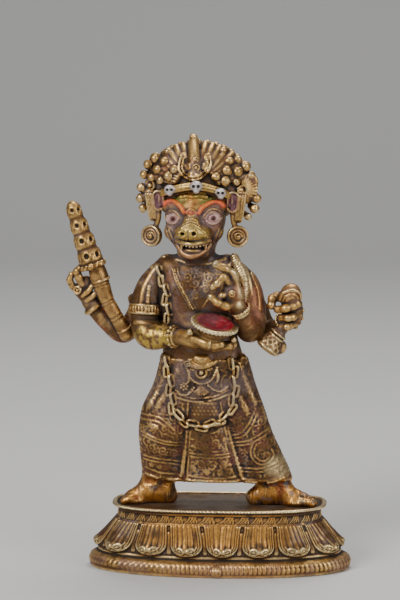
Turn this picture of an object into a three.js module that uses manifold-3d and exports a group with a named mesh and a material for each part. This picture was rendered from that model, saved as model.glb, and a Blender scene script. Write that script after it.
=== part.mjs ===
// Four-armed guardian figure in cast copper alloy, standing astride on its own oval lotus plinth.
// Millimetres, +Z up, the front faces -Y. The origin is the middle of the plinth's underside.
import * as THREE from 'three';
import { mergeVertices } from 'three/addons/utils/BufferGeometryUtils.js';
import Module from 'manifold-3d';

// Plinth: half lengths of its oval plan at each level, and heights above the ground.
const GROUND_HALF_LENGTH = 63;
const DECK_HALF_LENGTH = 51;
const NECK_HALF_LENGTH = 48;
const GROUND_FRONT = 26.5;
const DECK_FRONT = 24;
const NECK_FRONT = 21.5;
const BACK_TO_FRONT = 0.72;
const PLINTH_HEIGHT = 32.5;
const DECK_HEIGHT = 31;
const ROLL_TOP = 7;
const BAND_BOTTOM = 24.5;
const PETALS = 15;
const PETAL_TIP = 9.5;
const COLUMNS_PER_PETAL = 4;

// Figure: the levels and middles that its parts are hung from.
const SOLE_GAP = 0.3;
const SOLE = DECK_HEIGHT + SOLE_GAP;
const HEM = 44;
const WAIST = 104;
const NECK_BASE = 149;
const BODY_X = -9.5;
const HEAD_X = -11.3;
const HEAD_Y = -3;
const EYE_HEIGHT = 169.6;
const DIADEM_HEIGHT = 184;
const HAIR_MIDDLE = 184;
const HAIR_HALF_WIDTH = 25.5;
const HAIR_HALF_HEIGHT = 20.5;
const HAIR_HALF_DEPTH = 13;
const FINGER = 1.75;
const CHAIN_PITCH = 6.8;
const CHAIN_HALF_WIDTH = 2.5;

const wasm = await Module();
wasm.setup();

const V = (x, y, z) => new THREE.Vector3(x, y, z);

// A closed geometry as a solid.
function solid(geometry) {
  const bare = new THREE.BufferGeometry().setAttribute('position', geometry.getAttribute('position').clone());
  bare.setIndex(geometry.index);
  const merged = mergeVertices(bare, 1e-4);
  return new wasm.Manifold(new wasm.Mesh({
    numProp: 3,
    vertProperties: merged.attributes.position.array,
    triVerts: new Uint32Array(merged.index.array),
  }));
}

// The faces of a solid as corner numbers, sorted into the separate skins that they make up.
function skins(mesh) {
  const leader = Array.from({ length: mesh.numVert }, (_, i) => i);
  const first = (i) => {
    let at = i;
    while (leader[at] !== at) at = leader[at];
    return at;
  };
  for (let t = 0; t < mesh.numTri; t++) {
    const [p, q, r] = mesh.triVerts.subarray(t * 3, t * 3 + 3);
    const low = Math.min(first(p), first(q), first(r));
    leader[first(p)] = low;
    leader[first(q)] = low;
    leader[first(r)] = low;
  }
  const found = new Map();
  for (let t = 0; t < mesh.numTri; t++) {
    const owner = first(mesh.triVerts[t * 3]);
    if (!found.has(owner)) found.set(owner, []);
    found.get(owner).push(...mesh.triVerts.subarray(t * 3, t * 3 + 3));
  }
  return [...found.values()];
}

// The largest skin of a solid as a geometry, so that the small hollows left inside it are filled.
function outerGeometry(manifold) {
  const mesh = manifold.getMesh();
  const places = new Float32Array(mesh.numVert * 3);
  for (let i = 0; i < mesh.numVert; i++) {
    for (let k = 0; k < 3; k++) places[i * 3 + k] = mesh.vertProperties[i * mesh.numProp + k];
  }
  const largest = skins(mesh).reduce((best, skin) => (skin.length > best.length ? skin : best));
  const geometry = new THREE.BufferGeometry().setAttribute('position', new THREE.BufferAttribute(places, 3));
  geometry.setIndex(largest);
  return geometry.toNonIndexed();
}

// All the solids in a nested list, joined.
function join(...solids) {
  const all = solids.flat(Infinity);
  return all.reduce((whole, next) => whole.add(next));
}

// Moves every vertex of a geometry by a function of its place.
function reshape(geometry, move) {
  const places = geometry.getAttribute('position');
  const at = new THREE.Vector3();
  for (let i = 0; i < places.count; i++) {
    at.fromBufferAttribute(places, i);
    const to = move(at);
    places.setXYZ(i, to.x, to.y, to.z);
  }
  return geometry;
}

// An ellipsoid at a point, turned by angles in degrees about X, Y and Z.
function ball(at, radii, sides = 6, rows = 4, turn = [0, 0, 0]) {
  const geometry = new THREE.SphereGeometry(1, sides, rows);
  geometry.rotateX(Math.PI / 2);
  geometry.scale(...radii);
  const [x, y, z] = turn.map(THREE.MathUtils.degToRad);
  geometry.applyMatrix4(new THREE.Matrix4().makeRotationFromEuler(new THREE.Euler(x, y, z)));
  geometry.translate(...at);
  return solid(geometry);
}

// A ring whose axis points along a direction, stretched across itself by a share.
function ring(at, axis, radius, wire, around = 8, section = 3, stretch = 1) {
  const geometry = new THREE.TorusGeometry(radius, wire, section, around);
  geometry.scale(1, stretch, 1);
  const aim = new THREE.Quaternion().setFromUnitVectors(V(0, 0, 1), V(...axis).normalize());
  geometry.applyQuaternion(aim);
  geometry.translate(...at);
  return solid(geometry);
}

// A limb with blunt ends through points of the form [x, y, z, radius], its section flattened by a share.
// Bulges, where given, swell it that many times along its length.
function limb(points, sides = 8, perSpan = 1, flat = 1, bulges = 0) {
  const curve = new THREE.CatmullRomCurve3(points.map(([x, y, z]) => V(x, y, z)), false, 'centripetal');
  const spans = points.length - 1;
  const steps = bulges ? bulges * 2 : spans * perSpan;
  const frames = curve.computeFrenetFrames(steps, false);
  const geometry = new THREE.CapsuleGeometry(1, 2, 1, sides, steps);
  const radiusAt = (t) => {
    const place = t * spans;
    const i = Math.min(spans - 1, Math.floor(place));
    return THREE.MathUtils.lerp(points[i][3], points[i + 1][3], place - i);
  };
  return solid(reshape(geometry, (at) => {
    const t = THREE.MathUtils.clamp((at.y + 1) / 2, 0, 1);
    const beyond = at.y - (t * 2 - 1);
    const row = Math.round(t * steps);
    const r = radiusAt(t) * (bulges && row % 2 === 0 ? 0.6 : 1);
    const middle = bulges ? curve.getPointAt(t) : curve.getPoint(t);
    return middle
      .addScaledVector(frames.tangents[row], beyond * r * 0.7)
      .addScaledVector(frames.normals[row], -at.x * r)
      .addScaledVector(frames.binormals[row], at.z * r * flat);
  }));
}

// A body of oval sections from low to high: [z, middle x, middle y, half width, half depth, roundness].
function loft(sections, sides = 20) {
  const rows = sections.length - 1;
  const geometry = new THREE.CylinderGeometry(1, 1, rows, sides, rows);
  return solid(reshape(geometry, (at) => {
    const [z, x, y, halfWidth, halfDepth, roundness = 2] = sections[Math.round(at.y + rows / 2)];
    const reach = Math.hypot(at.x, at.z);
    const angle = Math.atan2(at.x, at.z);
    const [c, s] = oval(angle, roundness);
    return V(x + reach * halfWidth * c, y + reach * halfDepth * s, z);
  }));
}

// A point of a unit oval: 2 is an ellipse, and more is squarer.
function oval(angle, roundness) {
  const bend = (value) => Math.sign(value) * Math.abs(value) ** (2 / roundness);
  return [bend(Math.cos(angle)), bend(Math.sin(angle))];
}

// Points of the lower half of a unit circle from left to right, as shares across and down.
function arc(spans) {
  return Array.from({ length: spans + 1 }, (_, i) => {
    const angle = (i * Math.PI) / spans;
    return [-Math.cos(angle), Math.sin(angle)];
  });
}

// Levels of the plinth from its underside to its deck: [z, half length, front, roundness, petal swell].
const PLINTH_PROFILE = [
  [0, GROUND_HALF_LENGTH - 1.6, GROUND_FRONT - 1.6, 2.2, 0],
  [3.6, GROUND_HALF_LENGTH, GROUND_FRONT, 2.2, 0],
  [ROLL_TOP, GROUND_HALF_LENGTH - 2.4, GROUND_FRONT - 2.2, 2.25, 0],
  [8.2, GROUND_HALF_LENGTH - 5, GROUND_FRONT - 4, 2.3, 0],
  [PETAL_TIP + 1, GROUND_HALF_LENGTH - 5.4, GROUND_FRONT - 4.4, 2.3, 2.2],
  [PETAL_TIP + 4, GROUND_HALF_LENGTH - 6.4, GROUND_FRONT - 4.6, 2.35, 2.6],
  [18.5, 53, 21.8, 2.5, 1.2],
  [BAND_BOTTOM, NECK_HALF_LENGTH + 0.8, NECK_FRONT, 2.8, 0],
  [29.6, NECK_HALF_LENGTH, NECK_FRONT, 2.9, 0],
  [PLINTH_HEIGHT - 1, DECK_HALF_LENGTH, DECK_FRONT, 3, 0],
  [PLINTH_HEIGHT, DECK_HALF_LENGTH - 1, DECK_FRONT - 0.8, 3, 0],
  [DECK_HEIGHT, DECK_HALF_LENGTH - 2.6, DECK_FRONT - 2.2, 3, 0],
];

// A point on the plinth's side. At angle 0 it is at +X, and a quarter turn is the back.
function plinthPoint(angle, halfLength, front, roundness) {
  const [c, s] = oval(angle, roundness);
  return V(halfLength * c, s * (s > 0 ? front * BACK_TO_FRONT : front), 0);
}

// The angles of the plinth's columns, the same distance apart along its outline, the first at the front.
function columnAngles() {
  const steps = 1440;
  const outline = [55, 22, 2.4];
  const angleAt = (i) => -Math.PI / 2 + (i * 2 * Math.PI) / steps;
  const lengths = [0];
  for (let i = 1; i <= steps; i++) {
    const walked = plinthPoint(angleAt(i - 1), ...outline).distanceTo(plinthPoint(angleAt(i), ...outline));
    lengths.push(lengths[i - 1] + walked);
  }
  return Array.from({ length: PETALS * COLUMNS_PER_PETAL }, (_, c) => {
    const wanted = (c * lengths[steps]) / (PETALS * COLUMNS_PER_PETAL);
    return angleAt(lengths.findIndex((length) => length >= wanted));
  });
}

// The oval plinth with its roll, swelling petals, border band and sunken deck.
function plinth() {
  const rows = PLINTH_PROFILE.length - 1;
  const columns = PETALS * COLUMNS_PER_PETAL;
  const angles = columnAngles();
  const core = new THREE.CylinderGeometry(1, 1, rows, columns, rows);
  reshape(core, (at) => {
    const [z, halfLength, front, roundness, swell] = PLINTH_PROFILE[Math.round(at.y + rows / 2)];
    const column = Math.round((Math.atan2(at.x, at.z) / (2 * Math.PI)) * columns + columns) % columns;
    const acrossPetal = (2 * Math.PI * column) / COLUMNS_PER_PETAL;
    const proud = swell * (0.5 + 0.5 * Math.cos(acrossPetal));
    const edge = plinthPoint(angles[column], halfLength + proud, front + proud, roundness);
    return edge.multiplyScalar(Math.min(1, Math.hypot(at.x, at.z))).setZ(z);
  });
  const mark = ball([0, -GROUND_FRONT + 0.6, 3], [3, 1.6, 2.9]);
  return join(solid(core), mark);
}

// The wrapped skirt: one leg bent, one straight, the cloth between them, and its front panel.
function skirt() {
  const bentLeg = loft([
    [HEM + 1.2, -27.2, -1.5, 9.2, 9.5],
    [55, -27.4, -2, 10.8, 11],
    [67, -25.2, -2.5, 13.2, 12.2],
    [78, -21, -2.5, 15.4, 12.6],
    [89, -15.2, -2, 15.4, 12.4],
    [WAIST - 3, -11, -2, 15, 11.4],
  ], 12);
  const straightLeg = loft([
    [HEM + 0.6, 22.8, -1.5, 12, 10.4],
    [55, 18.8, -2, 11.8, 11],
    [66, 13.4, -2.5, 11.8, 11.6],
    [78, 7.8, -2.5, 12.8, 12.2],
    [89, 1.6, -2, 14.6, 12.4],
    [WAIST - 3, -4.6, -2, 16.6, 11.4],
  ], 12);
  const between = loft([
    [HEM - 1, -3.6, -2, 24, 9.4, 3],
    [60, -5, -2, 22, 9.8, 3],
    [80, -7, -2, 18, 10, 2.6],
    [WAIST - 4, -8, -2, 16, 10, 2.4],
  ], 12);
  const panel = loft([
    [HEM - 1.2, -3.6, -6, 14.2, 7.2, 5],
    [56, -4.4, -6.4, 11.8, 7.2, 5],
    [72, -5.6, -7, 9, 7, 4],
    [80, -6.6, -7, 9, 6.6, 3],
  ], 12);
  const folds = [
    limb([[-18.2, -12, HEM + 1, 0.9], [-15.6, -13.2, 58, 0.9], [-14, -14, 72, 0.9]], 5),
    limb([[11, -12.4, HEM, 1], [7.2, -13.2, 57, 1], [3, -14.2, 72, 1]], 5),
  ];
  return [bentLeg, straightLeg, between, panel, folds];
}

// A bare foot turned out to the side: heel, instep and toes.
function foot(heelX, toeX, y, ankleX) {
  const step = (toeX - heelX) / 4;
  const instep = limb([
    [heelX, y, SOLE + 3.2, 4],
    [heelX + step * 1.2, y - 0.4, SOLE + 4.6, 4.8],
    [heelX + step * 2.4, y - 1, SOLE + 3, 4],
    [heelX + step * 3.3, y - 1.4, SOLE + 2, 3],
  ], 7, 1, 1.2);
  const ankle = limb([[ankleX, y, SOLE + 5, 5], [ankleX, y, HEM + 3, 5.2]], 6);
  const toes = [-1, 0, 1].map((i) => limb([
    [heelX + step * 3.2, y - 1.4 + i * 2.6, SOLE + 1.8, 1.9],
    [toeX - step * 0.1 * Math.abs(i), y - 1.4 + i * 2.8, SOLE + 1.2, 1.5],
  ], 5));
  const ground = new THREE.BoxGeometry(120, 60, 8).translate(0, 0, SOLE - 4);
  return join(instep, ankle, toes).subtract(solid(ground));
}

// Belly, chest and neck.
function torso() {
  return loft([
    [96, -8, -2, 20.4, 12.4],
    [WAIST - 1, -8, -2, 19.4, 11.8],
    [113, -9.2, -2.4, 18, 11.4],
    [124, BODY_X, -2.6, 19.4, 11.8],
    [134, BODY_X, -2.4, 21.4, 12],
    [142, -10, -2, 19.6, 10.4],
    [NECK_BASE, -10.4, -2, 13.6, 8.4],
    [NECK_BASE + 3, -10.6, -3, 9, 7.4],
    [160, -10.6, -4, 8.6, 7.4],
  ], 12);
}

// The two arms in front and the two behind, each from shoulder to wrist, swelling into a bracelet.
function arms() {
  const cupArm = limb([
    [-25, -2, 145, 5.4], [-32, -3, 136, 6.8], [-35, -3.8, 125, 7.2], [-35.2, -4.8, 117.4, 7.6], [-32.4, -8, 112.8, 7.2],
    [-26.5, -12, 113, 6.2], [-22.2, -14.9, 113.5, 4.8], [-21.2, -15.6, 113.7, 6], [-19.2, -17, 114, 5.8], [-17.6, -18, 114, 3.8],
  ], 7);
  const gestureArm = limb([
    [4, -2, 145.4, 5.4], [11.8, -3, 137, 6.8], [14.2, -4, 126, 7.4], [14.8, -5.6, 119.6, 7.6], [15, -9.8, 116.6, 7],
    [12.8, -15, 120.4, 5.6], [11, -17.8, 124.6, 5], [10.4, -18.6, 126, 6], [9.6, -19.8, 128, 5.6], [9, -20.4, 129.4, 3.8],
  ], 7);
  const clubArm = limb([
    [-24, 3.6, 141.6, 6], [-36.4, 7, 126, 5.4], [-43, 6.8, 115, 5.4], [-47.6, 5, 112.2, 5.4], [-54, 3, 117.8, 4.6],
    [-58.6, 1.8, 122.4, 3.9], [-59.6, 1.7, 123.6, 4.9], [-61, 1.4, 125.2, 4.7], [-62, 1.2, 126.6, 3.4],
  ], 6);
  const maceArm = limb([
    [4, 3.6, 141.6, 6], [16.4, 8, 125, 5.4], [19.8, 8, 116.8, 5.6], [23.6, 5, 113.2, 5.4], [27.6, 0.4, 115.4, 4.6],
    [29.8, -2.6, 118, 4], [30.6, -3.6, 119, 5], [31.6, -4.8, 120.4, 4.8], [32.4, -5.6, 121.6, 3.6],
  ], 6);
  return [cupArm, gestureArm, clubArm, maceArm];
}

// The right hand under the skull cup, palm up.
function cupHand() {
  const palm = ball([-12, -20.4, 112.6], [7, 5, 3.6], 7, 4, [0, 8, -14]);
  const fingers = [0, 1, 2, 3].map((i) => limb([
    [-8, -24 + i * 2.9, 112 - i * 0.3, FINGER], [-1.6, -25.4 + i * 3.1, 111 - i * 0.3, FINGER],
    [4.4, -24.4 + i * 2.9, 112.2 - i * 0.5, FINGER * 0.85],
  ], 5));
  const thumb = limb([[-16, -21.5, 114.6, 2], [-11.4, -26, 116.4, 1.7], [-9.8, -27.6, 119, 1.3]], 5);
  return [palm, fingers, thumb];
}

// The skull cup: an open bowl tipped a little to the front, filled to just under its thick rim.
function skullCup() {
  const profile = [[0, -6.2], [5, -5.6], [9.4, -3], [10.9, 1], [9.6, 1.2], [7.6, 0.2], [0, -0.2]];
  const bowl = new THREE.LatheGeometry(profile.map(([r, z]) => new THREE.Vector2(r, z)), 13);
  bowl.rotateX(Math.PI / 2 + THREE.MathUtils.degToRad(14));
  bowl.rotateY(THREE.MathUtils.degToRad(7));
  bowl.translate(-1, -21.4, 120.6);
  return solid(bowl);
}

// The left hand raised before the chest: two fingers up, two folded and the thumb out.
function gestureHand() {
  const palm = ball([7.4, -21.4, 134.6], [4.6, 3.4, 6.6], 7, 5, [0, -12, 0]);
  const fingers = [
    limb([[8.6, -21.6, 140, FINGER], [6, -22.6, 146, FINGER], [1.6, -24, 148.6, FINGER * 0.85]], 5),
    limb([[6.6, -22.6, 139, FINGER], [2.4, -26, 143.4, FINGER], [-0.8, -26.6, 140.4, FINGER * 0.9]], 5),
    limb([[5.6, -23, 134.6, FINGER], [1.4, -27.4, 136, FINGER], [-0.6, -26.2, 132.8, FINGER]], 5),
    limb([[6.4, -22.6, 130.4, FINGER], [0.6, -26.4, 131.6, FINGER], [-5, -24.6, 134.4, FINGER]], 5),
  ];
  return [palm, fingers];
}

// The raised hand with the skull club: grip, guard, cone of stacked skulls, and the shaft down to the elbow.
function club() {
  const hand = ball([-65.4, 0, 130.6], [4.6, 4, 5.4], 6, 4, [0, 35, 0]);
  const fingers = [0, 1, 2].map((i) => limb([
    [-69.6 + i * 1.4, -2.6, 133.6 - i * 2.2, FINGER], [-67.6 + i * 1.6, -5.6, 138 - i * 2.4, FINGER],
    [-61.6 + i * 1.5, -5.6, 139.4 - i * 2.6, FINGER],
  ], 5));
  const thumb = limb([[-68, 1, 134, 1.8], [-67, 0.6, 140, 1.7], [-63.4, -2.4, 144.4, 1.4]], 5);
  const shaft = limb([
    [-57.6, -4, 144, 3.9], [-55, -4, 137.6, 4.4], [-52.6, -3.6, 131, 3.3], [-47.6, -2.6, 120, 3.4], [-43.8, -1, 112.6, 4.2],
  ], 7);
  return [hand, fingers, thumb, shaft, skullCone()];
}

// The cone of skulls above the guard, each tier with sunk eyes.
function skullCone() {
  const base = V(-60.2, -4, 146.4);
  const tip = V(-69, -4, 174.6);
  const axis = tip.clone().sub(base);
  const tiers = 4;
  const upright = new THREE.Quaternion().setFromUnitVectors(V(0, 0, 1), axis.clone().normalize());
  const local = (x, y, share) => V(x, y, 0).applyQuaternion(upright).add(base).addScaledVector(axis, share);
  const radiusAt = (share) => 6.1 - 2.9 * share;
  const profile = [new THREE.Vector2(0, -0.1), new THREE.Vector2(4.4, -0.08)];
  for (let i = 0; i <= tiers * 2; i++) {
    const share = (i / (tiers * 2)) * 0.96;
    profile.push(new THREE.Vector2(radiusAt(share) * (i % 2 ? 1 : 0.84), share));
  }
  profile.push(new THREE.Vector2(0, 1.04));
  const cone = new THREE.LatheGeometry(profile, 8);
  cone.rotateX(Math.PI / 2);
  reshape(cone, (at) => local(at.x, at.y, at.z));
  const sockets = [];
  for (let tier = 0; tier < tiers; tier++) {
    const share = (tier + 0.5) / tiers * 0.96;
    const r = radiusAt(share);
    for (const degrees of [-125, -55]) {
      const angle = THREE.MathUtils.degToRad(degrees);
      const at = local(r * 1.05 * Math.cos(angle), r * 1.05 * Math.sin(angle), share);
      sockets.push(solid(new THREE.OctahedronGeometry(1.9).translate(at.x, at.y, at.z)));
    }
  }
  const guard = ring(local(0, 0, -0.03).toArray(), axis.toArray(), 5.2, 1.9, 8, 3);
  return [solid(cone).subtract(join(sockets)), guard];
}

// The left hand behind, closed round the mace, with the mace's bud and its ribbed bell.
function mace() {
  const palm = ball([34.6, -5.4, 124.6], [5, 4.6, 7.6], 7, 5, [0, 8, 0]);
  const fingers = [0, 1, 2, 3].map((i) => {
    const z = 130 - i * 3.4;
    const reach = i === 3 ? 0.6 : 0;
    return limb([
      [38 - reach, -8, z + 0.4, FINGER], [34.4, -12.2, z, FINGER], [28.4 + reach, -10.4, z - 0.4, FINGER],
    ], 5);
  });
  const thumb = limb([[31, -6, 131, 2.2], [26, -8, 132, 2.4], [24.2, -8, 128.6, 2.2]], 6);
  const bud = limb([[32.4, -8, 129, 3.4], [34.2, -8, 134, 4.8], [35.6, -8, 137.2, 2.8]], 7);
  const bell = limb([
    [33, -9, 120.6, 2.4], [30.6, -9, 116, 2.6], [28.4, -9.4, 113.6, 3.6], [27.4, -9.6, 112.4, 3.2],
    [25.8, -9.8, 110.8, 5], [24.8, -9.9, 109.7, 4.4], [23, -10.2, 108, 6],
  ], 8);
  return [palm, fingers, thumb, bud, bell];
}

// The round wrathful head: bulging eyes, upswept brows, broad snout and open mouth.
function head() {
  const skull = ball([HEAD_X, HEAD_Y, 169], [14.6, 13.8, 17], 10, 7);
  const jaw = ball([HEAD_X - 0.3, HEAD_Y - 4, 160], [11.8, 11.6, 9], 8, 4);
  const snout = limb([[HEAD_X - 0.3, -11, 166.6, 6.4], [HEAD_X - 0.6, -18, 164.4, 6.8]], 7, 1, 1.35);
  const mouth = ball([HEAD_X - 0.4, -20, 156.2], [7.4, 6.6, 2.8], 7, 4);
  const nostrils = [-1, 1].map((side) => {
    const hole = new THREE.OctahedronGeometry(1.6).scale(1, 2, 0.8).translate(HEAD_X - 0.8 + side * 3, -23.6, 164);
    return solid(hole);
  });
  const face = join(skull, jaw, snout).subtract(join(mouth, nostrils));
  const lip = limb([
    [-20.6, -11.4, 158.4, 1.1], [-17.8, -15.4, 154.2, 1.4], [-11.8, -18, 151.9, 1.6],
    [-5.6, -15.4, 154.4, 1.4], [-2.8, -11.4, 158.6, 1.1],
  ], 5);
  const eyes = [-1, 1].map((side) => ball([HEAD_X - 0.6 + side * 9.3, -12.8, EYE_HEIGHT], [4.4, 3.6, 3.4], 6, 4));
  const brows = [-1, 1].map((side) => limb([
    [HEAD_X + side * 12.6, -9.8, 175, 1], [HEAD_X + side * 8.6, -14.2, 176.2, 1.4],
    [HEAD_X + side * 4.2, -16.4, 172.4, 1.3],
  ], 4));
  return [face, lip, eyes, brows];
}

// Ears, the disc earrings that hang from them, and the ribbons beside them.
function ears() {
  return [-1, 1].map((side) => {
    const x = HEAD_X + side * 16.8;
    const disc = [HEAD_X + side * 20, -5.6, 160];
    const facing = [side < 0 ? -0.5 : 0.12, -1, 0.04];
    const plate = new THREE.CylinderGeometry(5.3, 5.3, 3, 10, 1);
    plate.applyQuaternion(new THREE.Quaternion().setFromUnitVectors(V(0, 1, 0), V(...facing).normalize()));
    plate.translate(...disc);
    const boss = V(...disc).addScaledVector(V(...facing).normalize(), 1.5).toArray();
    return [
      limb([[x - side * 0.6, -5.6, 178, 3.2], [x + side * 0.8, -5.4, 172, 3], [x + side * 1.8, -5.4, 164, 1.8]], 6, 1, 0.8),
      solid(plate),
      ring(boss, facing, 3.3, 1.1, 6),
      limb([[x + side * 5.2, -5.2, 182, 1.6], [x + side * 5.8, -5.4, 174, 2.2], [x + side * 3.6, -4.2, 166.4, 1.6]], 5, 1, 1.2),
    ];
  });
}

// Places of the snail curls on the hair's front: x, height and radius. The depth follows the hair's dome.
const CURLS = [
  [-32.6, 192.4, 4], [-24.4, 190.4, 3.6], [-34.6, 182.4, 3.2], [-35.6, 174, 3],
  [10.6, 191.8, 4], [3.2, 192.6, 3.4], [14.2, 173.4, 3.4],
];

// The depth of the hair's front at a place, so that ornaments sit on it.
function hairFront(x, z) {
  const across = (x - HEAD_X - 1) / HAIR_HALF_WIDTH;
  const up = (z - HAIR_MIDDLE) / HAIR_HALF_HEIGHT;
  return 1 - HAIR_HALF_DEPTH * Math.sqrt(Math.max(0.12, 1 - across * across - up * up));
}

// The tall hair: its dome, locks swept up from the diadem, snail curls and the coiled crest.
function hair() {
  const dome = ball([HEAD_X + 1, 1, HAIR_MIDDLE], [HAIR_HALF_WIDTH, HAIR_HALF_DEPTH, HAIR_HALF_HEIGHT], 12, 8);
  const curls = CURLS.map(([x, z, r]) => ring([x, hairFront(x, z), z], [(x - HEAD_X) * 0.02, -1, 0.15], r * 0.6, r * 0.45, 6));
  const locks = [-11.4, 11.4].map((offset) => {
    const x = HEAD_X + offset * 0.8;
    const top = 203.4 - Math.abs(offset) * 0.2;
    return limb([[x, hairFront(x, 193) - 0.4, 193, 2.4], [x, hairFront(x, top) + 1.4, top, 2]], 5);
  });
  const crest = limb([
    [HEAD_X + 0.4, hairFront(HEAD_X, 191) - 1, 191.4, 3.8],
    [HEAD_X - 0.6, hairFront(HEAD_X, 203) - 0.6, 205.4, 2.4],
  ], 6, 1, 1, 3);
  const crescent = limb(arc(4).map(([c, d]) => {
    const [x, z] = [HEAD_X + 0.6 + c * 6.8, 195.4 - d * 7.8];
    return [x, hairFront(x, z) - 1.2, z, 1.4];
  }), 4);
  return [dome, curls, locks, crest, crescent];
}

// The diadem over the forehead with three skulls, and the fan and rosettes at its ends.
function diadem() {
  const band = limb([
    [-26.6, -8.4, 180.6, 1.7], [-19.4, -14, 183.2, 1.7], [HEAD_X + 0.8, -16, DIADEM_HEIGHT + 0.6, 1.7],
    [-2.4, -14, 183, 1.7], [4.2, -8.4, 179.6, 1.7],
  ], 5);
  const skulls = [[-22.6, -13, 182.6, 2.4], [HEAD_X + 0.9, -17.2, 184.6, 2.8], [0.6, -13, 181, 2.4]];
  const carved = skulls.map(([x, y, z, r]) => {
    const sockets = [-1, 1].map((side) => new THREE.OctahedronGeometry(r * 0.4).translate(x + side * r * 0.42, y - r * 0.85, z));
    return ball([x, y, z], [r, r * 0.9, r], 6, 4).subtract(join(sockets.map(solid)));
  });
  const fan = ball([13.6, -4.4, 184], [4.4, 2, 6], 6, 4, [0, 30, 0]);
  return [band, carved, fan];
}

// The chain that hangs from both shoulders to the knees, as the points that it follows.
const CHAIN_RIGHT = [
  [-27.4, -4, 149.6], [-26.4, -11, 143], [-24.6, -14, 136.6], [-24.6, -15, 130.6], [-23.6, -15, 124], [-24.6, -15, 116],
];
const CHAIN_LOOP = [
  [-26.4, -12.6, 104], [-25.6, -13.4, 98], [-24.4, -14.6, 92], [-22.6, -15.6, 85.6], [-19.4, -16, 78.4], [-13.9, -16, 73],
  [-7.4, -16, 70.8], [-1, -16, 72.8], [4.4, -16, 78], [7.2, -15.6, 85], [8, -14.8, 92.4], [7.8, -13.6, 100], [7.4, -12, 107],
];
const CHAIN_LEFT = [[7.6, -4, 150.4], [10.6, -9.6, 145.6], [11.8, -13, 139.4], [11.6, -14.6, 132.6], [10.2, -15, 127]];

// A run of chain along a curve, one bulge for each pair of linked ovals.
function chain(points) {
  const length = new THREE.CatmullRomCurve3(points.map((at) => V(...at))).getLength();
  return limb(points.map((at) => [...at, CHAIN_HALF_WIDTH]), 4, 1, 1, Math.round(length / CHAIN_PITCH));
}

// Swags, rosettes and the pendant of the belt, with the sash folded over it.
function belt() {
  const swag = (from, to, drop, y) => limb([
    [...from, 0.9], [(from[0] + to[0]) / 2, y, (from[2] + to[2]) / 2 - drop, 1], [...to, 0.9],
  ], 4);
  return [
    ring([-8, -15, 96.2], [0, -1, 0.1], 1.9, 1, 6),
    ball([-16.4, -14.4, 88.6], [1.9, 1.4, 1.9], 5, 4),
    swag([-15, -13.6, 98], [-1, -13.6, 97.4], 6, -15.4),
    limb([[-13, -12.4, 105.6, 1.6], [-8, -13.6, 103.6, 1.9], [-3, -12.4, 106.4, 1.6]], 4),
    limb([[-23, -13, 84.6, 1], [-7.4, -15.6, 81.6, 1], [6, -13.6, 84.6, 1]], 4),
  ];
}

// The figure: one casting.
function figure() {
  return join(
    skirt(), torso(), arms(), head(), ears(), hair(), diadem(),
    foot(-25.4, -46.8, -1, -28), foot(18, 46.4, -1.6, 24.4),
    cupHand(), skullCup(), gestureHand(), club(), mace(),
    chain(CHAIN_RIGHT), chain(CHAIN_LOOP), chain(CHAIN_LEFT), belt(),
  );
}

const bronze = new THREE.MeshStandardMaterial({ color: 0x7d5f33, roughness: 0.45, metalness: 0.9 });
const darkBronze = new THREE.MeshStandardMaterial({ color: 0x5d4730, roughness: 0.5, metalness: 0.85 });

// A named mesh of the model.
function piece(name, manifold, material) {
  const mesh = new THREE.Mesh(outerGeometry(manifold), material);
  mesh.name = name;
  return mesh;
}

const model = new THREE.Group();
model.add(piece('lotus_plinth', plinth(), darkBronze));
model.add(piece('figure', figure(), bronze));
export default model;
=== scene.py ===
"""Looks of the four-armed guardian figure and its lotus plinth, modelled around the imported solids.

All modelling is in millimetres, in the frame of the solids: +Z up, the front towards -Y, and the
origin in the middle of the plinth's underside. The meshes are made in metres at the end.
"""
import math

import bpy
import numpy as np
import openvdb
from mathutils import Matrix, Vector

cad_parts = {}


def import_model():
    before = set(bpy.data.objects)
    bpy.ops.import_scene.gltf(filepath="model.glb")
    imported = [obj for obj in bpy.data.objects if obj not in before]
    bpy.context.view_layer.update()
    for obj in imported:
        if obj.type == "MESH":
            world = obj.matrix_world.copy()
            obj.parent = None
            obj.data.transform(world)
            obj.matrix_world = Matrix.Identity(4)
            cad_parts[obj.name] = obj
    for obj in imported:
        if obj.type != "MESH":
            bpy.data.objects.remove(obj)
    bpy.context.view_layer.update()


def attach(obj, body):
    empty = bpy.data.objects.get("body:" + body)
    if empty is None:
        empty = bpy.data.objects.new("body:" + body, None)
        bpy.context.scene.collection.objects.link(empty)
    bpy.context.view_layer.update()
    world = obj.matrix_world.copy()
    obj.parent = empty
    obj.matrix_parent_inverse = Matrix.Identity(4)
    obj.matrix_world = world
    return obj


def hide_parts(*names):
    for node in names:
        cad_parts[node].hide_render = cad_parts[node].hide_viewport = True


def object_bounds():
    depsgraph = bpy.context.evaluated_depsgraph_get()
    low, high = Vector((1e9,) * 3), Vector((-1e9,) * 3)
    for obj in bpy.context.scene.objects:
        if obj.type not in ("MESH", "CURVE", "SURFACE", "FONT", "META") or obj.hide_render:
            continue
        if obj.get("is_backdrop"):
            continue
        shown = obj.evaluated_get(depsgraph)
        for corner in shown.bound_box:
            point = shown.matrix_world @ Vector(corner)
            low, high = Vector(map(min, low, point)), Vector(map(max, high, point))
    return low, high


MM = 0.001

# Figure: the levels and middles that its parts are hung from.
DECK_HEIGHT = 31.0
SOLE = DECK_HEIGHT + 0.3
HEM = 44.0
WAIST = 104.0
NECK_BASE = 149.0
BODY_X = -9.5
HEAD_X = -11.3
EYE_HEIGHT = 169.2

# Modelling clay: grid steps, and how far from the surface it knows its distance.
BODY_STEP = 0.46
HEAD_STEP = 0.37
BAND = 2.8
SPECK_QUADS = 60


def length_of(*parts):
    """The length of a vector given by its parts, each an array."""
    total = parts[0] * parts[0]
    for part in parts[1:]:
        total = total + part * part
    return np.sqrt(total)


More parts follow.
